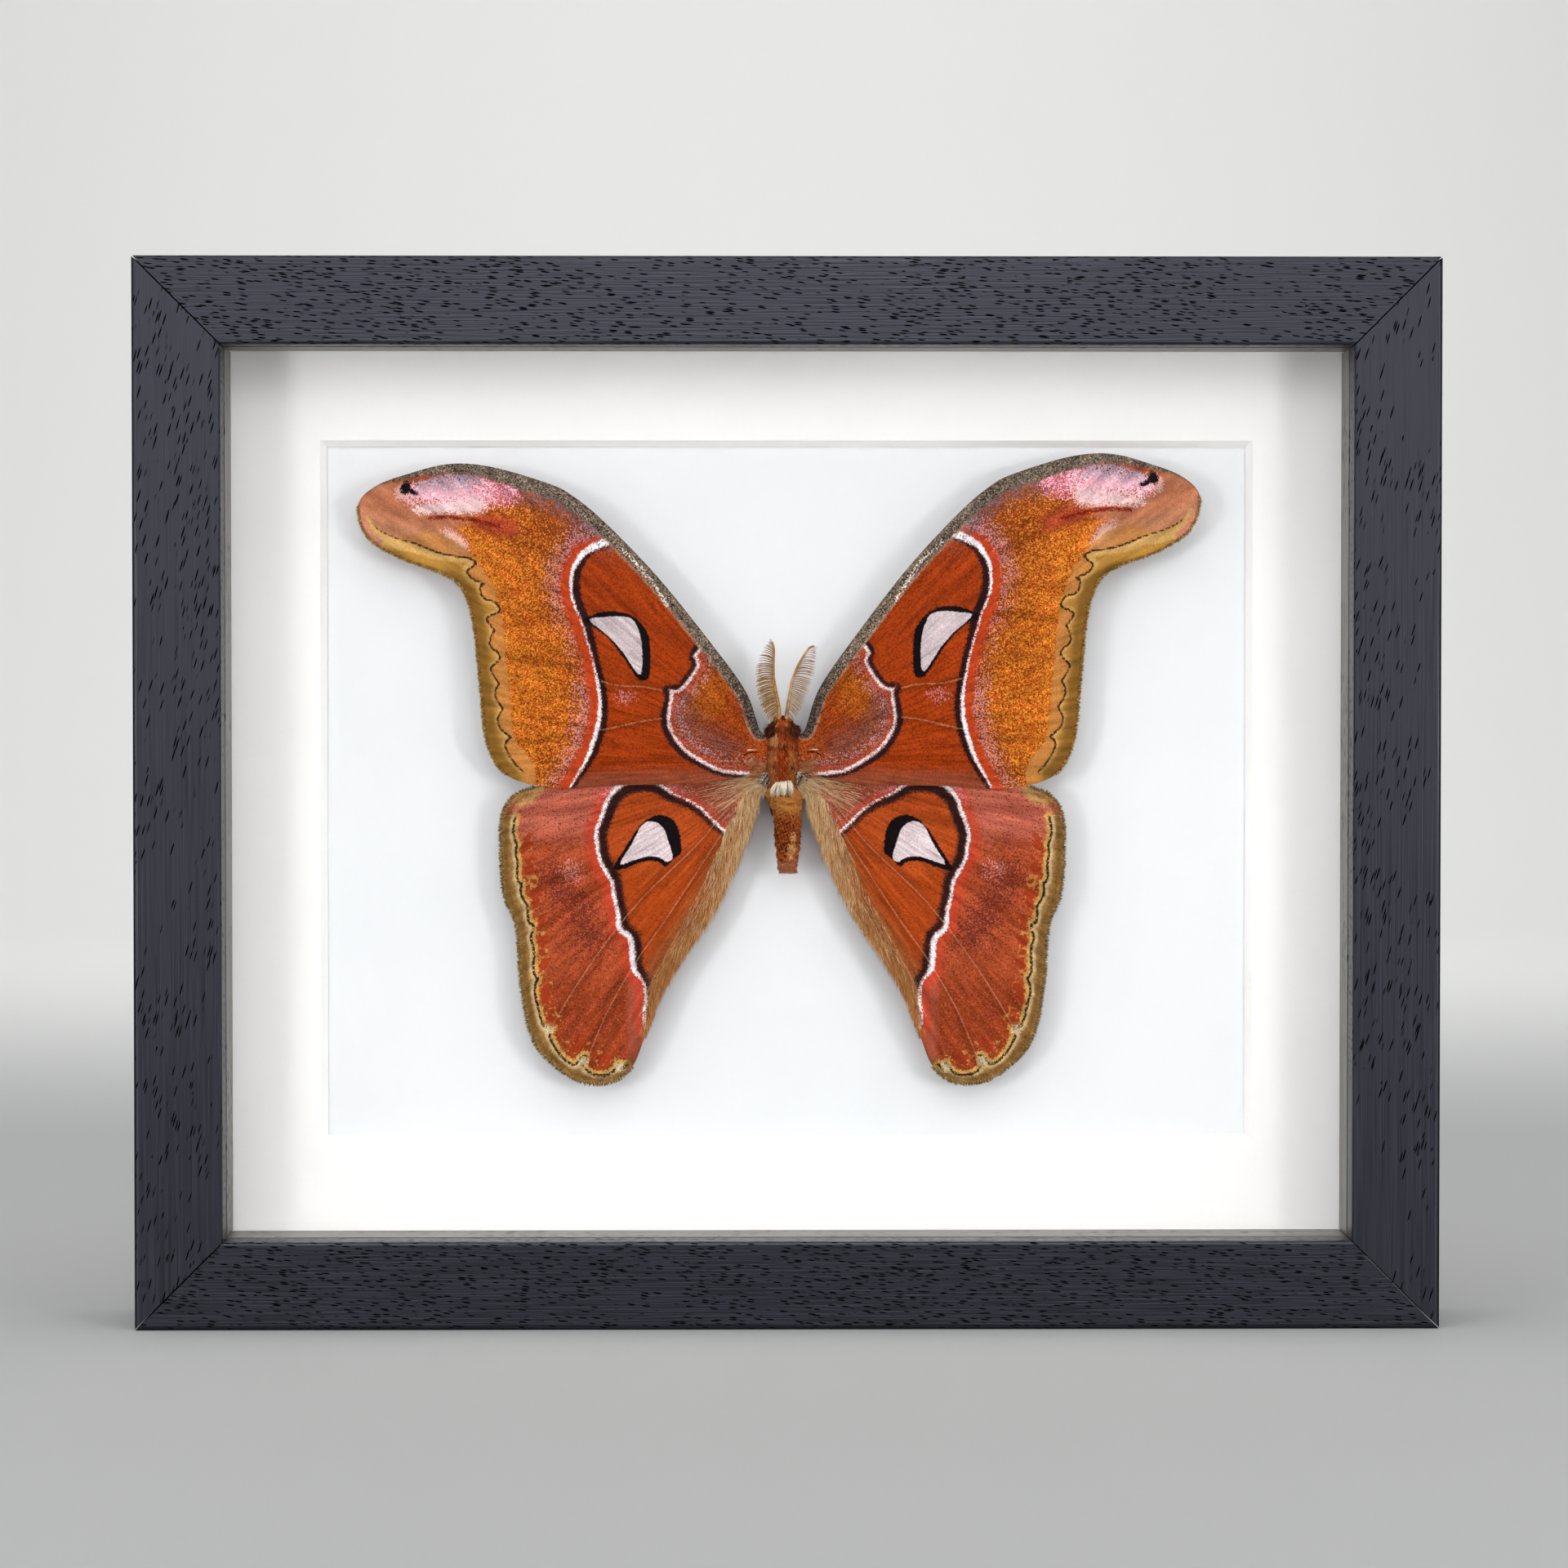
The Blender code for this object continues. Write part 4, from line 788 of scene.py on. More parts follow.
def hindwing_marks(spots):
    """Depth of each spot in every mark of a hindwing, in millimetres."""
    across, up = spots.T
    margin, at = nearest(spots, edge_part(HINDWING, 3, 15))
    line = beyond(spots, smooth(HIND_LINE, 3), [(33.0, -100.0), (200.0, -100.0), (200.0, -11.0)])
    fade = np.interp(at, [8.0, 13.0], [-3.0, 0.0])
    ring_line = smooth(RING, 4)
    ring = -beyond(spots, ring_line, [(20.0, -62.0), (15.0, -75.0), (-40.0, -75.0), (-40.0, -18.0)])
    round_ring = nearest(spots, ring_line)[1]
    white = np.interp(round_ring, [0.0, 6.0, 18.0, 26.0, 32.0, 36.0, 62.0, 66.0, 76.0, 79.0, 84.0, 96.0],
                      [0.0, 0.35, 0.18, 0.45, 0.5, 0.42, 0.38, 0.6, 0.65, 0.2, 0.42, 0.25])
    black = np.interp(round_ring, [0.0, 6.0, 16.0, 30.0, 44.0, 70.0, 80.0, 88.0],
                      [0.2, 0.8, 1.5, 2.2, 2.0, 1.5, 1.6, 0.0])
    vein = from_veins(spots, HINDWING_VEINS)
    low_vein = from_veins(spots, HINDWING_VEINS[4:])
    inner = nearest(spots, edge_part(HINDWING, 17, 24))[0]
    wobble = 0.45 * np.sin(up * 2.3 + across) + 0.4 * np.sin(up * 1.1 + across * 1.7) \
        + 0.3 * np.sin(up * 3.9 - across * 2.6)
    loops = wobble + np.max([spot_depth(spots, (x, z), a, b, lean) for x, z, a, b, lean in LOOPS], axis=0)
    dusk = np.exp(-(nearest(spots, [(50.0, -25.0), (46.5, -30.0), (42.0, -38.0)])[0] / 4.0) ** 2)
    outside = ring > 0.0
    near_body = np.interp(across, [8.0, 18.0, 30.0], [0.5, 0.3, 0.0])
    lilac = 0.5 * np.exp(-((across - 46.5) ** 2 + (up + 23.5) ** 2) / 7.0)
    return {
        "outer field": ring,
        "lower field": np.where(outside, (-47.0 - up) * 0.25, -5.0),
        "outer rose": np.where(outside, (up + 17.0) * 0.4, -5.0),
        "outer dark": density(ring > 1.0, 0.2 + 0.62 * dusk),
        "outer pale": density(ring > 1.5, 0.2),
        "outer lilac": density(ring > 1.5, lilac),
        "inner glow": spot_depth(spots, (29.0, -15.0), 12.0, 10.0, 0.5),
        "inner shade": np.where(outside, -5.0, 5.5 - inner),
        "inner dark": density(ring < -1.0, 0.2),
        "basal field": np.where(outside, np.minimum(34.0 - across, 5.0), -5.0),
        "basal light": density(outside & (across < 30.0), near_body),
        # vein shade: painted shade along the veins, for the curve of the membrane beside them
        "vein shade": 1.1 - vein,
        "red beyond": band(ring, 0.0, np.interp(round_ring, [20.0, 30.0, 60.0], [1.0, 2.6, 2.2])),
        "pink haze": band(ring, -0.2, 3.0)
                     - np.interp(round_ring, [16.0, 24.0, 33.0, 40.0], [2.6, 0.4, 0.4, 3.0]),
        "white line": white - np.abs(ring),
        "black line": band(ring, -white - black, -white * 0.8),
        "rim": depth_in(spots, smooth(HIND_RIM, 4, closed=True)),
        "window": depth_in(spots, smooth(HIND_WINDOW, 4, closed=True)),
        "inner hair": 2.6 - inner,
        "gold edge": band(line, -1.0, 0.2) + fade,
        "blotch": loops,
        "gold loops": 0.2 - np.abs(loops) - 0.25 * np.clip(np.abs(line) - 3.2, 0.0, 4.0),
        "cream band": line + 0.2,
        "top tan": np.minimum(2.9 - margin, 13.0 - at) - np.interp(across, [50.0, 55.0], [3.0, 0.0]),
        "margin fringe": band(line, 0.95, 9.0) + fade,
        "fringe dark": band(margin, 0.5, 1.7) + np.interp(at, [2.0, 10.0], [-2.0, 0.0]),
        "edge brown": 0.35 - margin,
        "margin line": 0.30 - np.abs(line) + np.interp(at, [12.0, 16.0], [-1.0, 0.0]),
        "cusps": 0.9 - np.min([np.hypot(across - x, up - z) for x, z in VEIN_TIPS], axis=0),
        "pale veins": 0.1 - low_vein,
    }


hindwing_depths = hindwing_marks(wing_covers["hindwing"][0])
print("hindwing marks:", len(hindwing_depths))

# %% [markdown]
# The wing's material paints those marks one over the other, as the scales themselves do it.
# The scales are 0.23 mm cells, a little coarser than the real ones so that they show, and each
# has three chances of its own. A chance shifts the depth it compares, so edges are ragged by
# single scales and mixed fields are grainy. Broad folds and thin rays from the wing's root shade
# the whole. Scales are as dull as velvet, so the shader has no mirror shine at all.

# %% Powdered wing material
SCALE_MM = 0.23
FOLD_SCALE = 0.22
SCALE_RELIEF = 0.08 * MM


def powdered_wing(name, ground, marks):
    """Paint marks over the ground: name, colour, softness and raggedness in mm, chance, strength."""
    material, tree, shader = new_material(name)
    drawn = add(tree, "ShaderNodeAttribute", {"attribute_name": "drawn"}).outputs["Vector"]
    cells = add(tree, "ShaderNodeTexVoronoi", {"voronoi_dimensions": "2D"},
                Vector=drawn, Scale=1.0 / SCALE_MM)
    chance = add(tree, "ShaderNodeSeparateColor", Color=cells.outputs["Color"])
    folds = add(tree, "ShaderNodeTexNoise", {"noise_dimensions": "2D"},
                Vector=drawn, Scale=FOLD_SCALE, Detail=4.0)
    rayed = add(tree, "ShaderNodeAttribute", {"attribute_name": "rayed"}).outputs["Vector"]
    rays = add(tree, "ShaderNodeTexNoise", {"noise_dimensions": "2D"},
               Vector=rayed, Scale=1.0, Detail=3.0)
    colour = ground
    for mark, tint, soft, ragged, pick, strength in marks:
        depth = add(tree, "ShaderNodeAttribute", {"attribute_name": mark}).outputs["Fac"]
        moved = add(tree, "ShaderNodeMath", {"operation": "MULTIPLY_ADD"},
                    (chance.outputs[pick], ragged, depth))
        mask = add(tree, "ShaderNodeMapRange", {"interpolation_type": "SMOOTHSTEP"},
                   Value=moved.outputs[0], From_Min=0.5 * ragged - 0.5 * soft,
                   From_Max=0.5 * ragged + 0.5 * soft, To_Max=strength)
        colour = result(add(tree, "ShaderNodeMix", {"data_type": "RGBA"},
                            Factor=mask.outputs[0], A=colour, B=tint))
    tone = add(tree, "ShaderNodeMath", {"operation": "MULTIPLY_ADD"},
               (chance.outputs["Blue"], 0.34, 0.61))
    wide = add(tree, "ShaderNodeMath", {"operation": "MULTIPLY_ADD"},
               (folds.outputs[0], 0.34, tone.outputs[0]))
    streaks = add(tree, "ShaderNodeMath", {"operation": "MULTIPLY_ADD"}, (rays.outputs[0], 1.2, 0.4))
    both = add(tree, "ShaderNodeMath", {"operation": "MULTIPLY"},
               (wide.outputs[0], streaks.outputs[0]))
    shaded = add(tree, "ShaderNodeVectorMath", {"operation": "SCALE"},
                 Vector=colour, Scale=both.outputs[0])
    capped = add(tree, "ShaderNodeVectorMath", {"operation": "MINIMUM"},
                 (shaded.outputs[0], (0.9, 0.9, 0.9)))
    tree.links.new(capped.outputs[0], shader.inputs["Base Color"])
    height = add(tree, "ShaderNodeMath", {"operation": "MULTIPLY_ADD"},
                 (folds.outputs[0], 6.0, chance.outputs["Green"]))
    bump = add(tree, "ShaderNodeBump", Height=height.outputs[0], Strength=0.35, Distance=SCALE_RELIEF)
    tree.links.new(bump.outputs[0], shader.inputs["Normal"])
    shader.inputs["Roughness"].default_value = 0.7
    shader.inputs["Specular IOR Level"].default_value = 0.0
    return material


# %% [markdown]
# The paint of the forewing, from the lowest layer to the top one. A low softness gives a hard
# edge, a high raggedness lets single scales stray far over it, and marks of scattered scales
# have a raggedness of 1. The colours were judged under the lamps of this scene.

# %% Forewing paint
FOREWING_PAINT = (
    ("outer field", "#bc591f", 0.4, 1.6, "Red", 1.0),
    ("outer gold", "#dc902c", 0.1, 1.0, "Green", 0.9),
    ("outer dark", "#702c10", 0.1, 1.0, "Red", 0.85),
    ("outer rose", "#c4868a", 0.1, 1.0, "Blue", 0.8),
    ("basal field", "#a84a1a", 0.8, 1.0, "Red", 1.0),
    ("basal glow", "#b8621c", 2.0, 3.0, "Green", 0.8),
    ("basal dusk", "#784c44", 0.1, 1.0, "Blue", 0.85),
    ("basal dark", "#5c2412", 0.1, 1.0, "Red", 0.7),
    ("basal frost", "#b49aa4", 0.1, 1.0, "Green", 0.7),
    ("middle dark", "#6c240c", 0.1, 1.0, "Red", 0.6),
    # painted shadow of a fold along the lower edge
    ("lower shade", "#7c4632", 2.0, 2.0, "Green", 0.65),
    # painted shade along the veins
    ("vein shade", "#642008", 1.8, 0.5, "Red", 0.3),
    ("dust", "#c08488", 0.1, 1.0, "Green", 0.8),
    ("red beyond", "#b4381c", 0.6, 1.4, "Green", 0.85),
    ("red within", "#a83c22", 0.8, 1.4, "Green", 0.6),
    ("white line", "#f0e4e4", 0.35, 0.35, "Blue", 1.0),
    ("black line", "#1e1416", 0.5, 0.5, "Red", 0.96),
    ("white inner line", "#ead6d4", 0.4, 0.4, "Blue", 0.9),
    ("black inner line", "#20161a", 0.6, 0.4, "Red", 0.95),
    ("rim", "#161012", 0.3, 0.3, "Red", 1.0),
    ("window", "#c6b6b8", 0.2, 0.2, "Green", 1.0),
    ("tip field", "#b47858", 0.8, 2.2, "Green", 1.0),
    ("tip rust", "#ae6848", 2.0, 1.6, "Red", 0.7),
    ("tip wedge", "#d9aa9c", 1.0, 1.6, "Green", 0.8),
    ("grey grains", "#6a606a", 0.1, 1.0, "Green", 0.9),
    ("pink patch", "#f2aaba", 1.2, 3.4, "Blue", 0.95),
    ("rose end", "#b44a50", 0.1, 1.0, "Red", 0.85),
    ("pink light", "#f0d4da", 0.1, 1.0, "Green", 0.85),
    ("lilac", "#9a8c9c", 0.1, 1.0, "Blue", 0.8),
    ("pink lobe", "#ecc8ca", 0.8, 1.8, "Red", 0.9),
    ("streak glow", "#a63a2c", 1.6, 2.0, "Green", 0.7),
    ("streak", "#7c1814", 0.3, 0.5, "Red", 0.95),
    ("spot rust", "#98401c", 0.8, 1.8, "Blue", 0.95),
    ("spot rim", "#dca8a6", 0.5, 0.9, "Red", 0.8),
    ("spot", "#160f10", 0.4, 0.7, "Green", 1.0),
    ("costa", "#6c5e52", 0.3, 0.9, "Blue", 1.0),
    ("costa dark", "#2c2522", 0.1, 1.0, "Red", 0.9),
    ("costa pale", "#a4927c", 0.1, 1.0, "Green", 0.85),
    ("costa edge", "#c08a68", 0.3, 0.3, "Red", 0.6),
    ("crack", "#e6d7c6", 0.2, 0.8, "Green", 0.8),
    ("root black", "#241614", 0.16, 0.0, "Red", 0.9),
    ("root white", "#e0d2c8", 0.16, 0.0, "Blue", 0.85),
    ("scallop tan", "#b87c40", 0.4, 0.6, "Green", 0.85),
    ("margin band", "#b08038", 0.25, 0.2, "Red", 1.0),
    ("cream line", "#cda568", 0.7, 0.3, "Green", 0.7),
    ("margin smudge", "#6c4a1c", 2.4, 1.2, "Blue", 0.8),
    ("tip rose", "#b87460", 0.8, 0.5, "Green", 0.9),
    ("edge brown", "#5c3c16", 0.5, 0.3, "Red", 0.8),
    ("margin line", "#2c1c14", 0.14, 0.1, "Red", 0.95),
    ("pale veins", "#c08a5e", 0.2, 0.25, "Blue", 0.45),
)
forewing_scales = powdered_wing("powdered forewing scales", "#9c3a11", FOREWING_PAINT)
print("layers of paint:", len(FOREWING_PAINT))

# %% [markdown]
# The hindwing is painted in the same way. It is redder, with a rosy top, and ends in a tan
# margin with a black line, gold loops and a brown fringe.

# %% Hindwing paint
HINDWING_PAINT = (
    ("outer field", "#a84a28", 0.5, 0.6, "Red", 1.0),
    ("lower field", "#8c381a", 3.0, 1.0, "Green", 0.9),
    ("outer rose", "#be6856", 2.0, 1.5, "Green", 0.75),
    ("outer dark", "#602622", 0.1, 1.0, "Red", 0.8),
    ("outer pale", "#b86848", 0.1, 1.0, "Green", 0.5),
    ("outer lilac", "#bc8a86", 0.1, 1.0, "Blue", 0.7),
    ("inner glow", "#ac4a1e", 3.0, 2.0, "Green", 0.8),
    ("inner shade", "#84502c", 4.0, 2.0, "Blue", 0.8),
    ("inner dark", "#7a2c10", 0.1, 1.0, "Red", 0.6),
    ("basal field", "#964a36", 0.8, 1.0, "Red", 1.0),
    ("basal light", "#c89478", 0.1, 1.0, "Green", 0.6),
    # painted shade along the veins
    ("vein shade", "#642008", 1.8, 0.5, "Red", 0.35),
    ("red beyond", "#be4028", 0.8, 1.8, "Green", 0.8),
    ("pink haze", "#c67a80", 1.4, 2.0, "Blue", 0.85),
    ("white line", "#f0e6e8", 0.4, 0.4, "Blue", 1.0),
    ("black line", "#1e1618", 1.0, 0.6, "Red", 0.96),
    ("rim", "#161012", 0.3, 0.3, "Red", 1.0),
    ("window", "#d8c6c8", 0.2, 0.2, "Green", 1.0),
    ("inner hair", "#a06a40", 3.0, 2.4, "Green", 0.8),
    ("gold edge", "#c4964e", 0.3, 0.5, "Green", 0.95),
    ("blotch", "#943218", 1.2, 0.6, "Red", 0.75),
    ("gold loops", "#bc8c48", 0.4, 0.35, "Green", 0.85),
    ("cream band", "#bea072", 0.3, 0.3, "Green", 1.0),
    ("top tan", "#b08a54", 1.2, 1.2, "Blue", 0.9),
    ("margin fringe", "#8c6838", 0.5, 0.5, "Blue", 0.95),
    ("fringe dark", "#6c4a22", 0.8, 0.8, "Green", 0.8),
    ("edge brown", "#644820", 0.5, 0.3, "Red", 0.6),
    ("margin line", "#1c1512", 0.2, 0.2, "Red", 0.97),
    ("cusps", "#d8c6a4", 0.6, 1.0, "Green", 0.7),
    ("pale veins", "#cc9874", 0.3, 0.1, "Blue", 0.4),
)
hindwing_scales = powdered_wing("powdered hindwing scales", "#a64418", HINDWING_PAINT)
print("layers of paint:", len(HINDWING_PAINT))

# %% [markdown]
# Each wing sheet has a front with the veins raised, a flat back and a wall round its rim. Both
# wings of a kind come from one drawing. Two more sets of numbers go with a sheet: where each
# point lies in the drawing, for the scales, and its direction and distance from the wing's
# root, for the rays. They are shifted on the right, so that no two wings have the same grain.

# %% Wings
RAY_BASE = {"forewing": (-2.0, 0.0), "hindwing": (0.0, 0.0)}
RAYS_PER_RADIAN = 48.0
RAY_DRIFT = 0.09
DRAWN_SHIFT = {"left": 0.0, "right": 200.0}
RAY_SHIFT = {"left": 0.0, "right": 40.0}
WINGS = {
    "forewing": (FOREWING_VEINS, forewing_depths, forewing_scales),
    "hindwing": (HINDWING_VEINS, hindwing_depths, hindwing_scales),
}
for node in ("forewing_left", "forewing_right", "hindwing_left", "hindwing_right"):
    kind, side = node.split("_")
    spots, triangles, rim_count = wing_covers[kind]
    veins, depths, scales = WINGS[kind]
    spread = SPREAD.get(node, (1.0, 1.0))
    rise = VEIN_RISE * np.clip(1.0 - from_veins(spots, veins) / VEIN_HALF, 0.0, 1.0)
    level = wing_depth(kind, spots) + waviness(spots)
    front = set_out(side, spots, level - rise, spread)
    back = set_out(side, spots, level + WING_T, spread)
    count = len(spots)
    rim = np.arange(rim_count)
    ahead = np.roll(rim, -1)
    wall = np.stack([rim, rim + count, ahead + count, ahead], axis=1)
    if side == "left":
        triangles, wall = triangles[:, ::-1], wall[:, ::-1]
    faces = triangles.tolist() + (triangles[:, ::-1] + count).tolist() + wall.tolist()
    piece = make_piece(node + "_sheet", np.vstack([front, back]), faces, scales)
    for mark, values in depths.items():
        keep(piece.data, mark, np.tile(values, 2))
    keep(piece.data, "drawn", np.tile(spots + DRAWN_SHIFT[side], (2, 1)))
    across, up = (spots - RAY_BASE[kind]).T
    rayed = np.stack([np.arctan2(up, across) * RAYS_PER_RADIAN + RAY_SHIFT[side],
                      np.hypot(across, up) * RAY_DRIFT], axis=-1)
    keep(piece.data, "rayed", np.tile(rayed, (2, 1)))
    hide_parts(node)
    print(node, "faces:", len(faces))

# %% [markdown]
# Hair is solid mesh: each tuft is a thin spike with three sides that bends over and tapers to
# nothing. Thousands of them are built at once from arrays of roots and directions. Every tuft
# remembers where it grows in the attribute named drawn, so it takes one colour from the same
# marks as the skin under it, and its own patch in the map for baking sits at the same place.

# %% Tufts of hair
TUFT_RINGS = (0.0, 0.36, 0.72)
FRONT = np.array([0.0, -1.0, 0.0])


def unit(vectors):
    """The vectors at a length of one."""
    return vectors / np.maximum(np.linalg.norm(vectors, axis=-1, keepdims=True), 1e-9)


def make_tufts(name, roots, lie, out, length, width, stand, material, bake_at, drawn, marks):
    """Join tufts into one piece: roots, the way they lie, the skin's normal, sizes and stand."""
    count = len(roots)
    out = np.broadcast_to(out, roots.shape)
    side = unit(np.cross(lie, out))
    rows = []
    for share in TUFT_RINGS:
        middle = roots + lie * (length * share)[:, None] \
            + out * (length * stand * (share - 0.55 * share ** 2))[:, None]
        half = 0.5 * width * (1.0 - share) ** 0.6
        rows += [middle + side * half[:, None], middle - side * half[:, None],
                 middle + out * (0.7 * half)[:, None]]
    rows.append(roots + lie * length[:, None] + out * (length * stand * 0.45)[:, None])
    points = np.stack(rows, axis=1).reshape(-1, 3)
    one = []
    for k in (0, 3):
        one += [(k, k + 1, k + 4, k + 3), (k + 1, k + 2, k + 5, k + 4), (k + 2, k, k + 3, k + 5)]
    one += [(6, 7, 9), (7, 8, 9), (8, 6, 9), (0, 2, 1)]
    size = len(rows)
    faces = [tuple(size * n + v for v in face) for n in range(count) for face in one]
    piece = make_piece(name, points, faces, material)
    keep(piece.data, "drawn", np.repeat(drawn, size, axis=0))
    for mark, depth in marks.items():
        keep(piece.data, mark, np.repeat(depth, size))
    corner = np.zeros(len(piece.data.loops), int)
    piece.data.loops.foreach_get("vertex_index", corner)
    patch = np.stack([np.arange(size) % 3, np.arange(size) // 3], axis=1) * 0.001
    place = bake_at[corner // size] + patch[corner % size]
    piece.data.uv_layers.new(name="OFBake").data.foreach_set("uv", place.ravel())
    print(name, "tufts:", count)
    return piece


# %% [markdown]
# One skin covers head, thorax and abdomen, so that no seam shows between them. It is a loft
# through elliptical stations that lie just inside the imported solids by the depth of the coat.
# The abdomen dried out after setting: it leans a little, its segments fold, and it has lumps.
# Each station is given as height, half width and half depth.

# %% Body skin
BODY = [
    (10.5, 0.7, 0.8), (10.0, 1.8, 1.9), (8.4, 2.5, 2.7), (6.7, 3.2, 2.8), (4.6, 3.45, 3.6),
    (1.8, 3.5, 3.95), (-1.4, 3.35, 3.85), (-4.0, 3.0, 3.35), (-5.2, 3.0, 3.0), (-6.6, 3.9, 3.25),
    (-8.8, 3.5, 3.15), (-11.5, 2.9, 2.9), (-14.2, 2.85, 2.75), (-17.0, 2.75, 2.55), (-19.6, 2.4, 2.3),
    (-22.0, 2.1, 2.0), (-23.8, 1.9, 1.6), (-24.3, 1.5, 1.2),
]
SEGMENTS = (-8.7, -11.3, -13.9, -16.5, -19.0, -21.4)
FOLD_DEPTH, FOLD_WIDTH = 0.22, 0.35
ABDOMEN_LEAN = 1.1
BODY_SIDES = 72
BODY_STEP = 0.2
SKIN_ROUND = 3.2


def body_surface(height, angle):
    """Points of the skin in millimetres from the moth's own origin, and their normals."""
    rows = smooth(BODY, 10)
    order = np.argsort(rows[:, 0])
    wide = np.interp(height, rows[order, 0], rows[order, 1])
    deep = np.interp(height, rows[order, 0], rows[order, 2])
    low = np.clip((-6.0 - height) / 5.0, 0.0, 1.0)
    lump = 0.16 * np.sin(height * 1.9 + 2.0 * np.sin(angle * 2.0)) \
        * np.sin(angle * 3.0 + height * 0.8) \
        + 0.12 * np.sin(height * 3.7 + angle * 5.0) + 0.07 * np.sin(height * 8.3 - angle * 9.0)
    bent = height + 0.5 * np.sin(angle + 0.6)
    from_fold = np.min([np.abs(bent - segment) for segment in SEGMENTS], axis=0)
    fold = -FOLD_DEPTH * np.exp(-(from_fold / FOLD_WIDTH) ** 2)
    swell = (lump + fold) * low
    x = ABDOMEN_LEAN * low ** 0.7 + (wide + swell) * np.sin(angle)
    y = -(deep + swell) * np.cos(angle)
    normal = unit(np.stack([np.sin(angle) / wide, -np.cos(angle) / deep, 0.0 * angle], axis=-1))
    return np.stack([x, y, height], axis=-1), normal


PITS = ((-1.9, -0.2, 0.35, 0.6), (2.0, -0.4, 0.4, 0.7), (0.1, 3.8, 1.0, 0.7))
FACE_DOTS = ((-1.1, 8.7, 0.34, 0.28), (0.7, 8.8, 0.34, 0.28))
LUMPS = ((2.3, -16.2, 0.6, 1.0), (2.1, -18.8, 0.9, 1.0), (1.7, -20.6, 0.5, 0.7))


def body_marks(spots):
    """The body's marks, from points about its own origin."""
    x, _, z = spots.T
    front = spots[:, [0, 2]]

    def in_spots(rows):
        return np.max([spot_depth(front, (px, pz), wide, tall) for px, pz, wide, tall in rows], axis=0)

    crust = np.sin(z * 5.3 + x * 2.7) * np.sin(x * 6.1 - z * 2.1 + 1.0) \
        + 0.6 * np.sin(z * 11.0 - x * 7.0)
    crust_share = np.interp(z, [-22.0, -18.0, -13.0, -8.0], [-1.0, 0.3, 0.2, -1.4])
    on_thorax = np.where(band(z, -4.0, 3.0) > 0.0, 0.0, -3.0)
    cheek = np.abs(x - 0.1) - 1.25 - 0.5 * np.clip(7.6 - z, 0.0, 9.0)
    return {
        "collar": band(z, 4.6, 7.6),
        "collar tan": spot_depth(front, (-2.0, 5.4), 0.8, 1.5, 0.2),
        "tan sides": 0.8 - np.abs(np.abs(x + 0.1) - 2.1) + on_thorax,
        "centre red": np.minimum(1.1 - np.abs(x - 0.1), band(z, -3.6, 3.2)),
        "side brown": np.abs(x) - 2.9 + np.where(band(z, 1.0, 10.5) > 0.0, 0.2, -0.9),
        "head side": np.minimum(cheek, band(z, 5.6, 11.0)),
        "pits": in_spots(PITS),
        "face dots": in_spots(FACE_DOTS),
        "face dark": spot_depth(front, (0.1, 10.2), 0.7, 0.6),
        "abdomen": -4.9 - z,
        "abdomen top": np.minimum(-4.9 - z, z + 11.0),
        "abdomen blotch": crust - 0.1 + crust_share - 0.35 * np.clip(x - 1.0, 0.0, 3.0),
        "abdomen lump": in_spots(LUMPS),
        "abdomen tip": -21.4 - z + 0.3 * np.sin(x * 3.0),
        "tip rim": -23.9 - z,
    }


BODY_PAINT = (
    ("side brown", "#5a2c1a", 0.8, 1.2, "Red", 0.8),
    ("head side", "#34180f", 0.9, 0.8, "Blue", 0.95),
    ("collar", "#702e18", 1.0, 2.2, "Green", 0.8),
    ("collar tan", "#b08050", 0.8, 1.2, "Blue", 0.8),
    ("tan sides", "#c27840", 0.8, 1.4, "Blue", 0.85),
    ("centre red", "#a23410", 1.0, 1.2, "Red", 0.75),
    ("pits", "#30140c", 0.5, 0.7, "Green", 0.9),
    ("face dots", "#b8703f", 0.3, 0.3, "Red", 0.9),
    ("face dark", "#3c120c", 0.3, 0.4, "Red", 0.9),
    ("abdomen", "#9c4c20", 1.0, 1.0, "Red", 1.0),
    ("abdomen top", "#b87a3c", 2.0, 3.0, "Green", 0.9),
    ("abdomen blotch", "#541c0c", 0.5, 0.8, "Blue", 0.9),
    ("abdomen lump", "#d8a066", 0.5, 0.9, "Green", 0.9),
    ("abdomen tip", "#a06248", 0.8, 0.8, "Red", 0.9),
    ("tip rim", "#c0987c", 0.4, 0.5, "Green", 0.8),
    ("tuft dark", "#54200e", 0.6, 1.0, "Green", 0.5),
    ("tuft light", "#d8924e", 0.6, 1.0, "Red", 0.5),
)
body_hair = powdered_wing("rust red body hair", "#9c421c", BODY_PAINT)
ORIGIN = np.array([AXIS_X, BODY_Y, AXIS_Z])
heights = np.arange(BODY[0][0], BODY[-1][0], -BODY_STEP)
angles = np.linspace(-math.pi, math.pi, BODY_SIDES, endpoint=False)
grid_height, grid_angle = (g.ravel() for g in np.meshgrid(heights, angles, indexing="ij"))
skin_points, _ = body_surface(grid_height, grid_angle)
cap_top = skin_points[:BODY_SIDES].mean(axis=0) + [0.0, 0.0, 0.15]
cap_tip = skin_points[-BODY_SIDES:].mean(axis=0) + [0.0, 0.0, 0.1]
skin_points = np.vstack([skin_points, cap_top, cap_tip])
faces = []
for row in range(len(heights) - 1):
    for k in range(BODY_SIDES):
        a, b = row * BODY_SIDES + k, row * BODY_SIDES + (k + 1) % BODY_SIDES
        faces.append((a, a + BODY_SIDES, b + BODY_SIDES, b))
last = (len(heights) - 1) * BODY_SIDES
for k in range(BODY_SIDES):
    ahead = (k + 1) % BODY_SIDES
    faces += [(k, ahead, len(skin_points) - 2), (last + ahead, last + k, len(skin_points) - 1)]
skin = make_piece("body_skin", skin_points + ORIGIN, faces, body_hair)
skin_marks = body_marks(skin_points)
skin_marks["tuft dark"] = np.full(len(skin_points), -2.0)
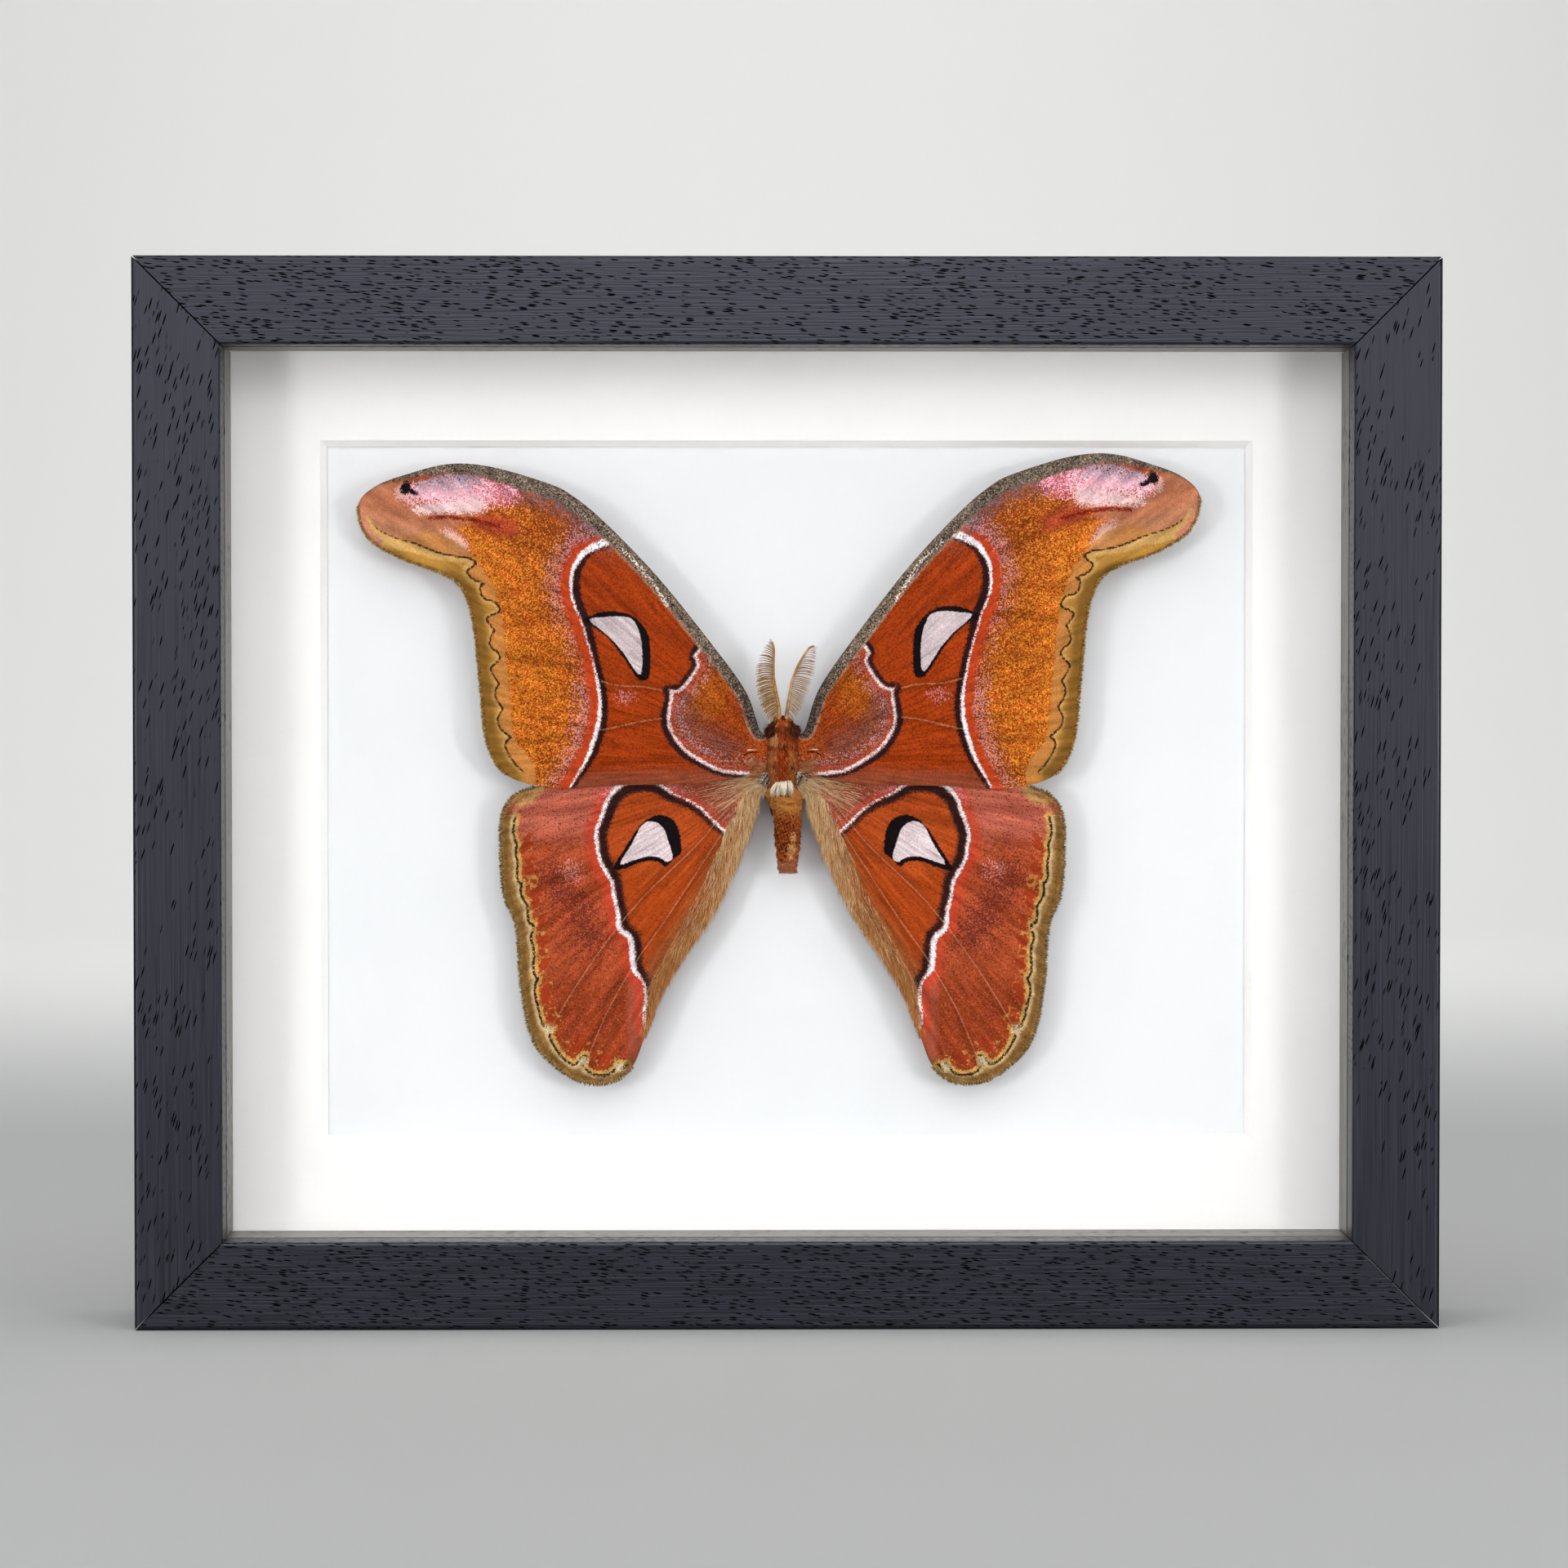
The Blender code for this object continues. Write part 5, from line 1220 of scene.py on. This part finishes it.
skin_marks["tuft light"] = skin_marks["tuft dark"]
for mark, values in skin_marks.items():
    keep(skin.data, mark, values)
round_skin = np.append(grid_angle * SKIN_ROUND, [0.0, 0.0])
keep(skin.data, "drawn", np.stack([round_skin, skin_points[:, 2]], axis=-1))
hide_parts("head", "thorax", "abdomen")
print("skin faces:", len(faces))

# %% [markdown]
# The coat lies back along the body, from the head towards the tail, and stands a little at the
# shoulders. Roots are drawn at random over height and round the body, with a fixed seed. Scale
# hair on the abdomen is short and worn, with loose flakes.

# %% Body coat
def body_patch(angle, height):
    """The place of the body's tufts in the map for baking."""
    return np.stack([(angle + math.pi) / (2.0 * math.pi) * 0.99, (height + 25.0) / 36.5], axis=-1)


def coat(name, count, low, high, length, width, stand, scatter):
    """Tufts over the body between two heights, lying towards the tail."""
    height = rng.uniform(low, high, count)
    angle = rng.uniform(-math.pi, math.pi, count)
    roots, out = body_surface(height, angle)
    marks = body_marks(roots)
    marks["tuft dark"] = rng.uniform(-1.3, 0.5, count)
    marks["tuft light"] = rng.uniform(-1.6, 0.4, count)
    lie = unit(np.stack([np.sin(angle) * 0.2 + rng.normal(0.0, scatter, count),
                         -np.cos(angle) * 0.2 + rng.normal(0.0, 0.08, count),
                         -np.ones(count)], axis=-1))
    out = unit(out - lie * np.sum(out * lie, axis=-1, keepdims=True))
    piece = make_tufts(name, roots - out * 0.05 + ORIGIN, lie, out,
                       length * rng.uniform(0.6, 1.3, count), width * rng.uniform(0.6, 1.4, count),
                       stand * rng.uniform(0.3, 1.7, count), body_hair, body_patch(angle, height),
                       np.stack([angle * SKIN_ROUND, height], axis=-1), marks)


# Name, how many, between which heights, length, width, stand, scatter
coat("thorax_coat", 9500, -4.4, 8.8, 0.72, 0.12, 0.22, 0.2)
coat("thorax_locks", 300, -4.0, 8.6, 1.1, 0.3, 0.4, 0.3)
coat("head_coat", 1500, 7.4, 10.4, 0.7, 0.13, 0.5, 0.4)
coat("abdomen_coat", 7000, -24.0, -5.4, 0.42, 0.14, 0.2, 0.4)
coat("abdomen_flakes", 900, -22.0, -6.0, 0.5, 0.4, 0.3, 0.7)

# %% [markdown]
# Where thorax and abdomen meet, a thick cream tuft crosses the body. Its hair gathers in locks
# that part and turn a little, so its lower rim is jagged.

# %% Cream tuft
def plain_hair(name, middle, dark, light):
    """Hair of three tones; each tuft takes its own by its shade and light marks."""
    tones = (("shade", dark, 0.4, 1.0, "Red", 0.8), ("light", light, 0.4, 1.0, "Green", 0.8))
    return powdered_wing(name, middle, tones)


def three_tones(count, shade=0.0, light=0.0):
    """Shade and light marks drawn at random; higher values give more of either tone."""
    return {"shade": rng.uniform(-1.2, 0.5, count) + shade,
            "light": rng.uniform(-1.2, 0.5, count) + light}


CREAM_TUFTS = 1500
LOCK_TURN = 0.14
cream_hair = plain_hair("cream body hair", "#fbe9d0", "#d6b48c", "#fff6e6")
count = CREAM_TUFTS
angle = rng.uniform(-0.5, 0.62, count)
lock = np.round(angle / LOCK_TURN)
height = -3.7 + 0.35 * angle - 1.1 * rng.uniform(0.0, 1.0, count) ** 1.4
roots, out = body_surface(height, angle)
gather = 1.6 * (lock * LOCK_TURN - angle) + 0.3 * np.sin(lock * 2.4) - 0.15
lie = unit(np.stack([gather + rng.normal(0.0, 0.1, count), np.zeros(count), -np.ones(count)], axis=-1))
out = unit(out - lie * np.sum(out * lie, axis=-1, keepdims=True))
length = (2.1 + 0.5 * np.sin(lock * 3.7)) * rng.uniform(0.7, 1.2, count)
tuft = make_tufts("cream_tuft", roots + ORIGIN, lie, out, length,
                  rng.uniform(0.12, 0.3, count), rng.uniform(0.3, 1.1, count), cream_hair,
                  body_patch(angle, height), np.stack([angle * SKIN_ROUND, height], axis=-1),
                  three_tones(count, shade=-0.1))

# %% [markdown]
# The big compound eyes of this moth are hardly seen from above: dark brown hair grows round and
# over them and joins them to the shoulders, which gives the head its dark, soft hood. Each eye is
# a ball under that hair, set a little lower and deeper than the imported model's plain one.

# %% Eyes and their hair
EYE_CENTRE = np.array([2.2, -0.6, 7.15])
EYE_RADII = np.array([1.15, 1.4, 1.3])
EYE_RINGS = 12
EYE_SIDES = 20
EYE_TUFTS = 1300
eye, _ = plain_finish("dark compound eye", "#241814", "#120c0a", 0.5, 0.08, 0.3, 0.01, 0.5)


def ball(name, centre, radii, material):
    """A closed ball of rings between two poles."""
    tilt, turn = np.meshgrid(np.arange(1, EYE_RINGS) * math.pi / EYE_RINGS,
                             np.arange(EYE_SIDES) * 2.0 * math.pi / EYE_SIDES, indexing="ij")
    way = [np.sin(tilt) * np.cos(turn), np.sin(tilt) * np.sin(turn), np.cos(tilt)]
    way = np.stack(way, axis=-1).reshape(-1, 3)
    way = np.vstack([way, [[0.0, 0.0, 1.0], [0.0, 0.0, -1.0]]])
    faces = []
    for k in range(EYE_SIDES):
        ahead = (k + 1) % EYE_SIDES
        for ring in range(EYE_RINGS - 2):
            a, b = ring * EYE_SIDES, (ring + 1) * EYE_SIDES
            faces.append((a + k, b + k, b + ahead, a + ahead))
        faces += [(len(way) - 2, k, ahead), (b + k, len(way) - 1, b + ahead)]
    return make_piece(name, centre + way * radii, faces, material)


eye_hair = plain_hair("dark brown eye hair", "#44261c", "#241410", "#864a30")
for side in ("left", "right"):
    mirror = np.array([SIGN[side], 1.0, 1.0])
    eyeball = ball("eyeball_" + side, EYE_CENTRE * mirror + ORIGIN, EYE_RADII, eye)
    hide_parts("eye_" + side)
    count = EYE_TUFTS
    way = unit(rng.normal(0.0, 1.0, (count, 3)))
    way[:, 1] = -np.abs(way[:, 1])
    roots = EYE_CENTRE + EYE_RADII * way
    out = unit(way / EYE_RADII)
    lie = np.stack([0.3 + 0.5 * way[:, 0] + rng.normal(0.0, 0.2, count), rng.normal(0.0, 0.15, count),
                    -1.0 + rng.normal(0.0, 0.2, count)], axis=-1)
    lie = unit(lie - out * np.sum(lie * out, axis=-1, keepdims=True))
    hair = make_tufts("eye_hair_" + side, roots * mirror + ORIGIN, lie * mirror, out * mirror,
                      rng.uniform(0.9, 2.0, count), rng.uniform(0.1, 0.22, count),
                      rng.uniform(0.1, 0.4, count), eye_hair, 0.5 + 0.45 * way[:, [0, 2]],
                      roots[:, [0, 2]] * 3.0, three_tones(count))

# %% [markdown]
# Long tan hair covers the hindwing's edge beside the body and hangs over it as a ragged fringe,
# and a fan of it spreads from the body over the base of both wings.

# %% Inner edge hair
tan_hair = plain_hair("tan wing edge hair", "#cf8f52", "#965a30", "#f4d8a8")
pale_hair = plain_hair("pale wing base hair", "#e6c08a", "#b8824a", "#fbe8c4")
rust_hair = plain_hair("rust wing base hair", "#b86a40", "#8a4424", "#dca878")
dark_hair = plain_hair("dark wing base hair", "#5c5048", "#14100e", "#e4ddd2")
EDGE_TUFTS = 6500


def along_edge(edge, at, step):
    """Spots at some lengths along an edge, the way it runs there, and the way to its left."""
    run = lengths(edge)
    spots, ahead = (np.stack([np.interp(where, run, edge[:, k]) for k in (0, 1)], axis=-1)
                    for where in (at, at + step))
    along = unit(ahead - spots + 1e-6)
    return spots, along, np.stack([-along[:, 1], along[:, 0]], axis=-1)


def edge_hair(side, count):
    """Hair along the hindwing's inner edge, from the body down to where the tail lobe begins."""
    edge = edge_part(HINDWING, 16, 23)[:-1][::-1]
    whole = lengths(edge)[-1]
    at = rng.uniform(0.0, 1.0, count) ** 0.9 * whole
    spots, along, inward = along_edge(edge, at, 0.5)
    reach = np.interp(at / whole, [0.0, 0.15, 0.5, 0.8, 1.0], [3.0, 4.8, 4.6, 2.8, 1.2])
    inset = rng.uniform(0.0, 1.0, count) ** 1.9 * reach
    spots = spots + inward * (inset + 0.15)[:, None]
    outward = np.interp(inset, [0.0, 2.0, 6.0], [0.42, 0.30, 0.10]) + rng.normal(0.0, 0.10, count)
    way = unit(along - inward * outward[:, None])
    size = rng.uniform(1.6, 3.6, count) * np.interp(at / whole, [0.0, 0.8, 1.0], [1.1, 0.9, 0.5])
    roots = set_out(side, spots, wing_depth("hindwing", spots) - 0.02)
    lie = unit(np.stack([SIGN[side] * way[:, 0], rng.normal(0.0, 0.03, count), way[:, 1]], axis=-1))
    hair = make_tufts("inner_edge_hair_" + side, roots, lie, FRONT, size,
                      rng.uniform(0.06, 0.12, count), rng.uniform(0.02, 0.22, count), tan_hair,
                      (0.1, 0.98) + spots / 80.0, spots,
                      three_tones(count, 0.25 * at / whole, 0.8 - 1.7 * at / whole))


def base_fan(name, side, count, kind, centre, angles, reach, length, width, material):
    """A fan of hair over a wing's base: roots round a centre, thinning out, pointing away from it."""
    angle = rng.uniform(*angles, count)
    away = reach[0] + (reach[1] - reach[0]) * rng.uniform(0.0, 1.0, count) ** 1.8
    way = np.stack([np.cos(angle), np.sin(angle)], axis=-1)
    spots = np.array(centre) + way * away[:, None]
    way = unit(way + rng.normal(0.0, 0.12, (count, 2)))
    roots = set_out(side, spots, wing_depth(kind, spots) - rng.uniform(0.02, 0.35, count))
    lie = unit(np.stack([SIGN[side] * way[:, 0], rng.normal(0.02, 0.04, count), way[:, 1]], axis=-1))
    hair = make_tufts(name + "_" + side, roots, lie, FRONT,
                      length * rng.uniform(0.5, 1.2, count), width * rng.uniform(0.6, 1.3, count),
                      rng.uniform(0.02, 0.2, count), material, (0.1, 0.9) + spots / 80.0, spots,
                      three_tones(count))


# Name, how many, wing, centre, angles, reach, length, width, hair
FANS = (
    ("hind_base_hair", 260, "hindwing", (1.6, -2.2), (-0.6, 0.06), (4.0, 14.0), 4.0, 0.08, pale_hair),
    ("hind_root_hair", 520, "hindwing", (2.2, -3.2), (-1.15, 0.25), (1.8, 4.2), 2.0, 0.1, pale_hair),
    ("fore_base_hair", 260, "forewing", (1.0, -1.4), (-0.35, 0.5), (2.6, 6.0), 1.8, 0.1, rust_hair),
    ("dark_base_hair", 170, "forewing", (3.2, -1.6), (-1.7, 0.0), (0.2, 3.0), 0.8, 0.2, dark_hair),
    ("dark_root_hair", 150, "hindwing", (2.6, -4.4), (-1.5, 0.1), (0.4, 2.2), 0.8, 0.2, dark_hair),
)
for side in ("left", "right"):
    edge_hair(side, EDGE_TUFTS)
    for name, count, *shape in FANS:
        base_fan(name, side, count, *shape)

# %% [markdown]
# The scales along a wing's outer edge stand out as a short fringe. It catches the light as a
# soft line, and a bare sheet's edge would look cut with a knife without it.

# %% Wing fringes
fore_fringe = plain_hair("forewing fringe scales", "#9a7434", "#5c4018", "#c8a468")
hind_fringe = plain_hair("hindwing fringe scales", "#7c6034", "#4c3818", "#b49a6c")


def fringe(name, node, outline, first, last, count, length, material):
    """Short scale hair along the outer edge between two points of the outline."""
    kind, side = node.split("_")
    edge = edge_part(outline, first, last)
    at = rng.uniform(0.0, lengths(edge)[-1], count)
    spots, _, outward = along_edge(edge, at, 0.4)
    way = unit(outward + rng.normal(0.0, 0.22, (count, 2)))
    spots = spots - outward * rng.uniform(0.05, 0.5, count)[:, None]
    depth = wing_depth(kind, spots) + waviness(spots) + rng.uniform(-0.02, 0.14, count)
    roots = set_out(side, spots, depth, SPREAD.get(node, (1.0, 1.0)))
    lie = unit(np.stack([SIGN[side] * way[:, 0], rng.normal(0.0, 0.1, count), way[:, 1]], axis=-1))
    piece = make_tufts(name + "_" + side, roots, lie, FRONT,
                       length * rng.uniform(0.6, 1.2, count), rng.uniform(0.14, 0.26, count),
                       rng.uniform(0.0, 0.15, count), material,
                       (0.02, 0.72) + spots / (98.0, 260.0), spots, three_tones(count))


for side in ("left", "right"):
    fringe("fore_fringe", "forewing_" + side, FOREWING, 12, 21, 1500, 0.55, fore_fringe)
    fringe("hind_fringe", "hindwing_" + side, HINDWING, 4, 15, 2200, 0.75, hind_fringe)

# %% [markdown]
# A male silkmoth's feelers are combs: from a tapering shaft, long curved rays reach outwards, two
# of them about every third of a millimetre. A node tree repeats one ray along the shaft. The
# shaft is a line whose points carry each ray's length and turn. The right comb is worn: its rays
# are thin and pale, some hang, and a few are broken short.

# %% Antennae by Geometry Nodes
SHAFTS = {
    "left": [(-0.7, 9.8), (-0.95, 13.0), (-1.55, 16.0), (-2.0, 19.0), (-2.05, 22.0),
             (-1.9, 25.0), (-2.3, 26.8)],
    "right": [(0.75, 9.8), (1.0, 11.5), (1.6, 15.3), (1.95, 17.5), (2.55, 19.5), (3.4, 21.6),
              (4.6, 23.7), (5.8, 25.4), (6.9, 25.9)],
}
RAY_REACH = {
    "left": ([0.0, 0.06, 0.2, 0.4, 0.65, 0.85, 1.0], [0.9, 2.4, 3.9, 4.1, 3.8, 2.5, 0.9]),
    "right": ([0.0, 0.06, 0.2, 0.4, 0.6, 0.8, 1.0], [0.7, 2.0, 3.2, 3.9, 4.3, 3.0, 0.9]),
}
RAY_RISE = {
    "left": ([0.0, 0.15, 0.4, 0.7, 1.0], [-0.9, -0.65, -0.3, 0.1, 0.9]),
    "right": ([0.0, 0.15, 0.33, 0.42, 0.6, 0.8, 1.0], [-0.95, -0.8, -0.55, -0.25, -0.1, 0.0, -0.4]),
}
RAY_GAP = 0.36
RAY_RADIUS = {"left": 0.042, "right": 0.03}
RAY_ARCH = {"left": -0.16, "right": 0.14}
SHAFT_RADII = (0.46, 0.22)
BACK_TURN = 0.55
BROKEN = 0.12
ANTENNA_Y = -2.2


def antenna_tree(name):
    """Node tree: a shaft swept along the line, and one ray set at each of its points."""
    tree = bpy.data.node_groups.new(name, "GeometryNodeTree")
    face = tree.interface
    face.new_socket(name="Geometry", in_out="INPUT", socket_type="NodeSocketGeometry")
    for size in ("Ray Radius", "Arch"):
        face.new_socket(name=size, in_out="INPUT", socket_type="NodeSocketFloat")
    face.new_socket(name="Material", in_out="INPUT", socket_type="NodeSocketMaterial")
    face.new_socket(name="Geometry", in_out="OUTPUT", socket_type="NodeSocketGeometry")
    given = add(tree, "NodeGroupInput")
    line = given.outputs["Geometry"]

    def kept(attribute, kind):
        return result(add(tree, "GeometryNodeInputNamedAttribute", {"data_type": kind}, Name=attribute))

    curve = add(tree, "GeometryNodeMeshToCurve", Mesh=line)
    ring = add(tree, "GeometryNodeCurvePrimitiveCircle", Resolution=8, Radius=1.0)
    shaft = add(tree, "GeometryNodeCurveToMesh", Curve=curve.outputs[0], Profile_Curve=ring.outputs[0],
                Scale=kept("thick", "FLOAT"), Fill_Caps=True)
    middle = add(tree, "ShaderNodeCombineXYZ", X=0.55, Z=given.outputs["Arch"])
    bow = add(tree, "GeometryNodeCurveQuadraticBezier", Resolution=7, Start=(0.0, 0.0, 0.0),
              Middle=middle.outputs[0], End=(1.0, 0.0, 0.0))
    along = add(tree, "GeometryNodeSplineParameter").outputs["Factor"]
    taper = add(tree, "ShaderNodeMapRange", Value=along, To_Min=1.0, To_Max=0.45)
    thin = add(tree, "GeometryNodeCurvePrimitiveCircle", Resolution=4,
               Radius=given.outputs["Ray Radius"])
    ray = add(tree, "GeometryNodeCurveToMesh", Curve=bow.outputs[0], Profile_Curve=thin.outputs[0],
              Scale=taper.outputs[0], Fill_Caps=True)
    whole = add(tree, "GeometryNodeJoinGeometry", None, (shaft.outputs[0],))
    for turn in ("turn", "back turn"):
        rays = add(tree, "GeometryNodeInstanceOnPoints", Points=line, Instance=ray.outputs[0],
                   Rotation=kept(turn, "FLOAT_VECTOR"), Scale=kept("reach", "FLOAT"))
        tree.links.new(rays.outputs[0], whole.inputs[0])
    real = add(tree, "GeometryNodeRealizeInstances", Geometry=whole.outputs[0])
    dressed = add(tree, "GeometryNodeSetMaterial", Geometry=real.outputs[0],
                  Material=given.outputs["Material"])
    add(tree, "NodeGroupOutput", Geometry=dressed.outputs[0])
    return tree


tree = antenna_tree("antenna comb")
comb_finish = {
    "left": plain_finish("tan antenna rays", "#b0803c", "#7c5022", 0.6, 0.2, 0.5, 0.02)[0],
    "right": plain_finish("pale worn antenna rays", "#b89468", "#8a6038", 1.6, 0.2, 0.5, 0.02)[0],
}
for side, sign in SIGN.items():
    line = even(smooth(SHAFTS[side], VEIN_STEPS), RAY_GAP)
    share = lengths(line) / lengths(line)[-1]
    count = len(line)
    reach = np.interp(share, *RAY_REACH[side]) * rng.uniform(0.93, 1.05, count)
    if side == "right":
        reach[rng.uniform(0.0, 1.0, count) < BROKEN] *= 0.3
    rise = np.interp(share, *RAY_RISE[side]) + rng.normal(0.0, 0.05, count)
    turn = np.zeros((count, 3))
    turn[:, 1] = -rise if sign > 0.0 else math.pi + rise
    back = turn.copy()
    back[:, 2] = -sign * BACK_TURN
    mesh = bpy.data.meshes.new("antenna_" + side)
    points = [AXIS_X + line[:, 0], np.full(count, ANTENNA_Y), AXIS_Z + line[:, 1]]
    points = np.stack(points, axis=-1) * MM
    mesh.from_pydata(points.tolist(), [(k, k + 1) for k in range(count - 1)], [])
    keep(mesh, "thick", np.interp(share, [0.0, 1.0], SHAFT_RADII) * MM)
    keep(mesh, "reach", reach * MM)
    keep(mesh, "turn", turn)
    keep(mesh, "back turn", back)
    holder = put("antenna_line_" + side, mesh)
    modifier = holder.modifiers.new("comb", "NODES")
    modifier.node_group = tree
    sockets = {item.name: item.identifier
               for item in tree.interface.items_tree if item.in_out == "INPUT"}
    modifier[sockets["Ray Radius"]] = RAY_RADIUS[side]
    modifier[sockets["Arch"]] = RAY_ARCH[side]
    modifier[sockets["Material"]] = comb_finish[side]
    bpy.context.view_layer.update()
    made = bpy.data.meshes.new_from_object(holder.evaluated_get(bpy.context.evaluated_depsgraph_get()))
    bpy.data.objects.remove(holder)
    comb = put("antenna_comb_" + side, made)
    made.shade_smooth()
    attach(comb, "root")
    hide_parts("antenna_" + side)
    print("antenna", side, "rays:", 2 * count, "faces:", len(made.polygons))

# %% [markdown]
# The parts that the front hardly shows. The back is a plain brown fibreboard, held by bent steel
# tabs and hung on a toothed steel plate. The moth stands on a block of cork, and its legs are
# covered in short brown scales.

# %% Back, steel, cork and legs
fibreboard, _ = plain_finish("brown fibreboard", "#8a6644", "#6e4e32", 9.0, 0.35, 0.8, 0.1)
set_slot(nodes["back_panel"], fibreboard)
steel, shader = plain_finish("zinc plated steel", "#c4c6c8", "#a2a5a8", 2.5, 0.5, 0.34, 0.01, 0.5)
shader.inputs["Metallic"].default_value = 1.0
cork, _ = plain_finish("pale cork", "#b48a5c", "#7a5230", 0.7, 0.3, 0.9, 0.15)
set_slot(nodes["specimen_support"], cork)
legs, _ = plain_finish("brown leg scales", "#7c4a2c", "#4c2a18", 0.6, 0.2, 0.75, 0.05)
for node in nodes:
    if node.startswith(("point_tab", "hanger_plate")):
        set_slot(nodes[node], steel)
    elif node.startswith("leg_"):
        set_slot(nodes[node], legs)
print("small parts dressed")
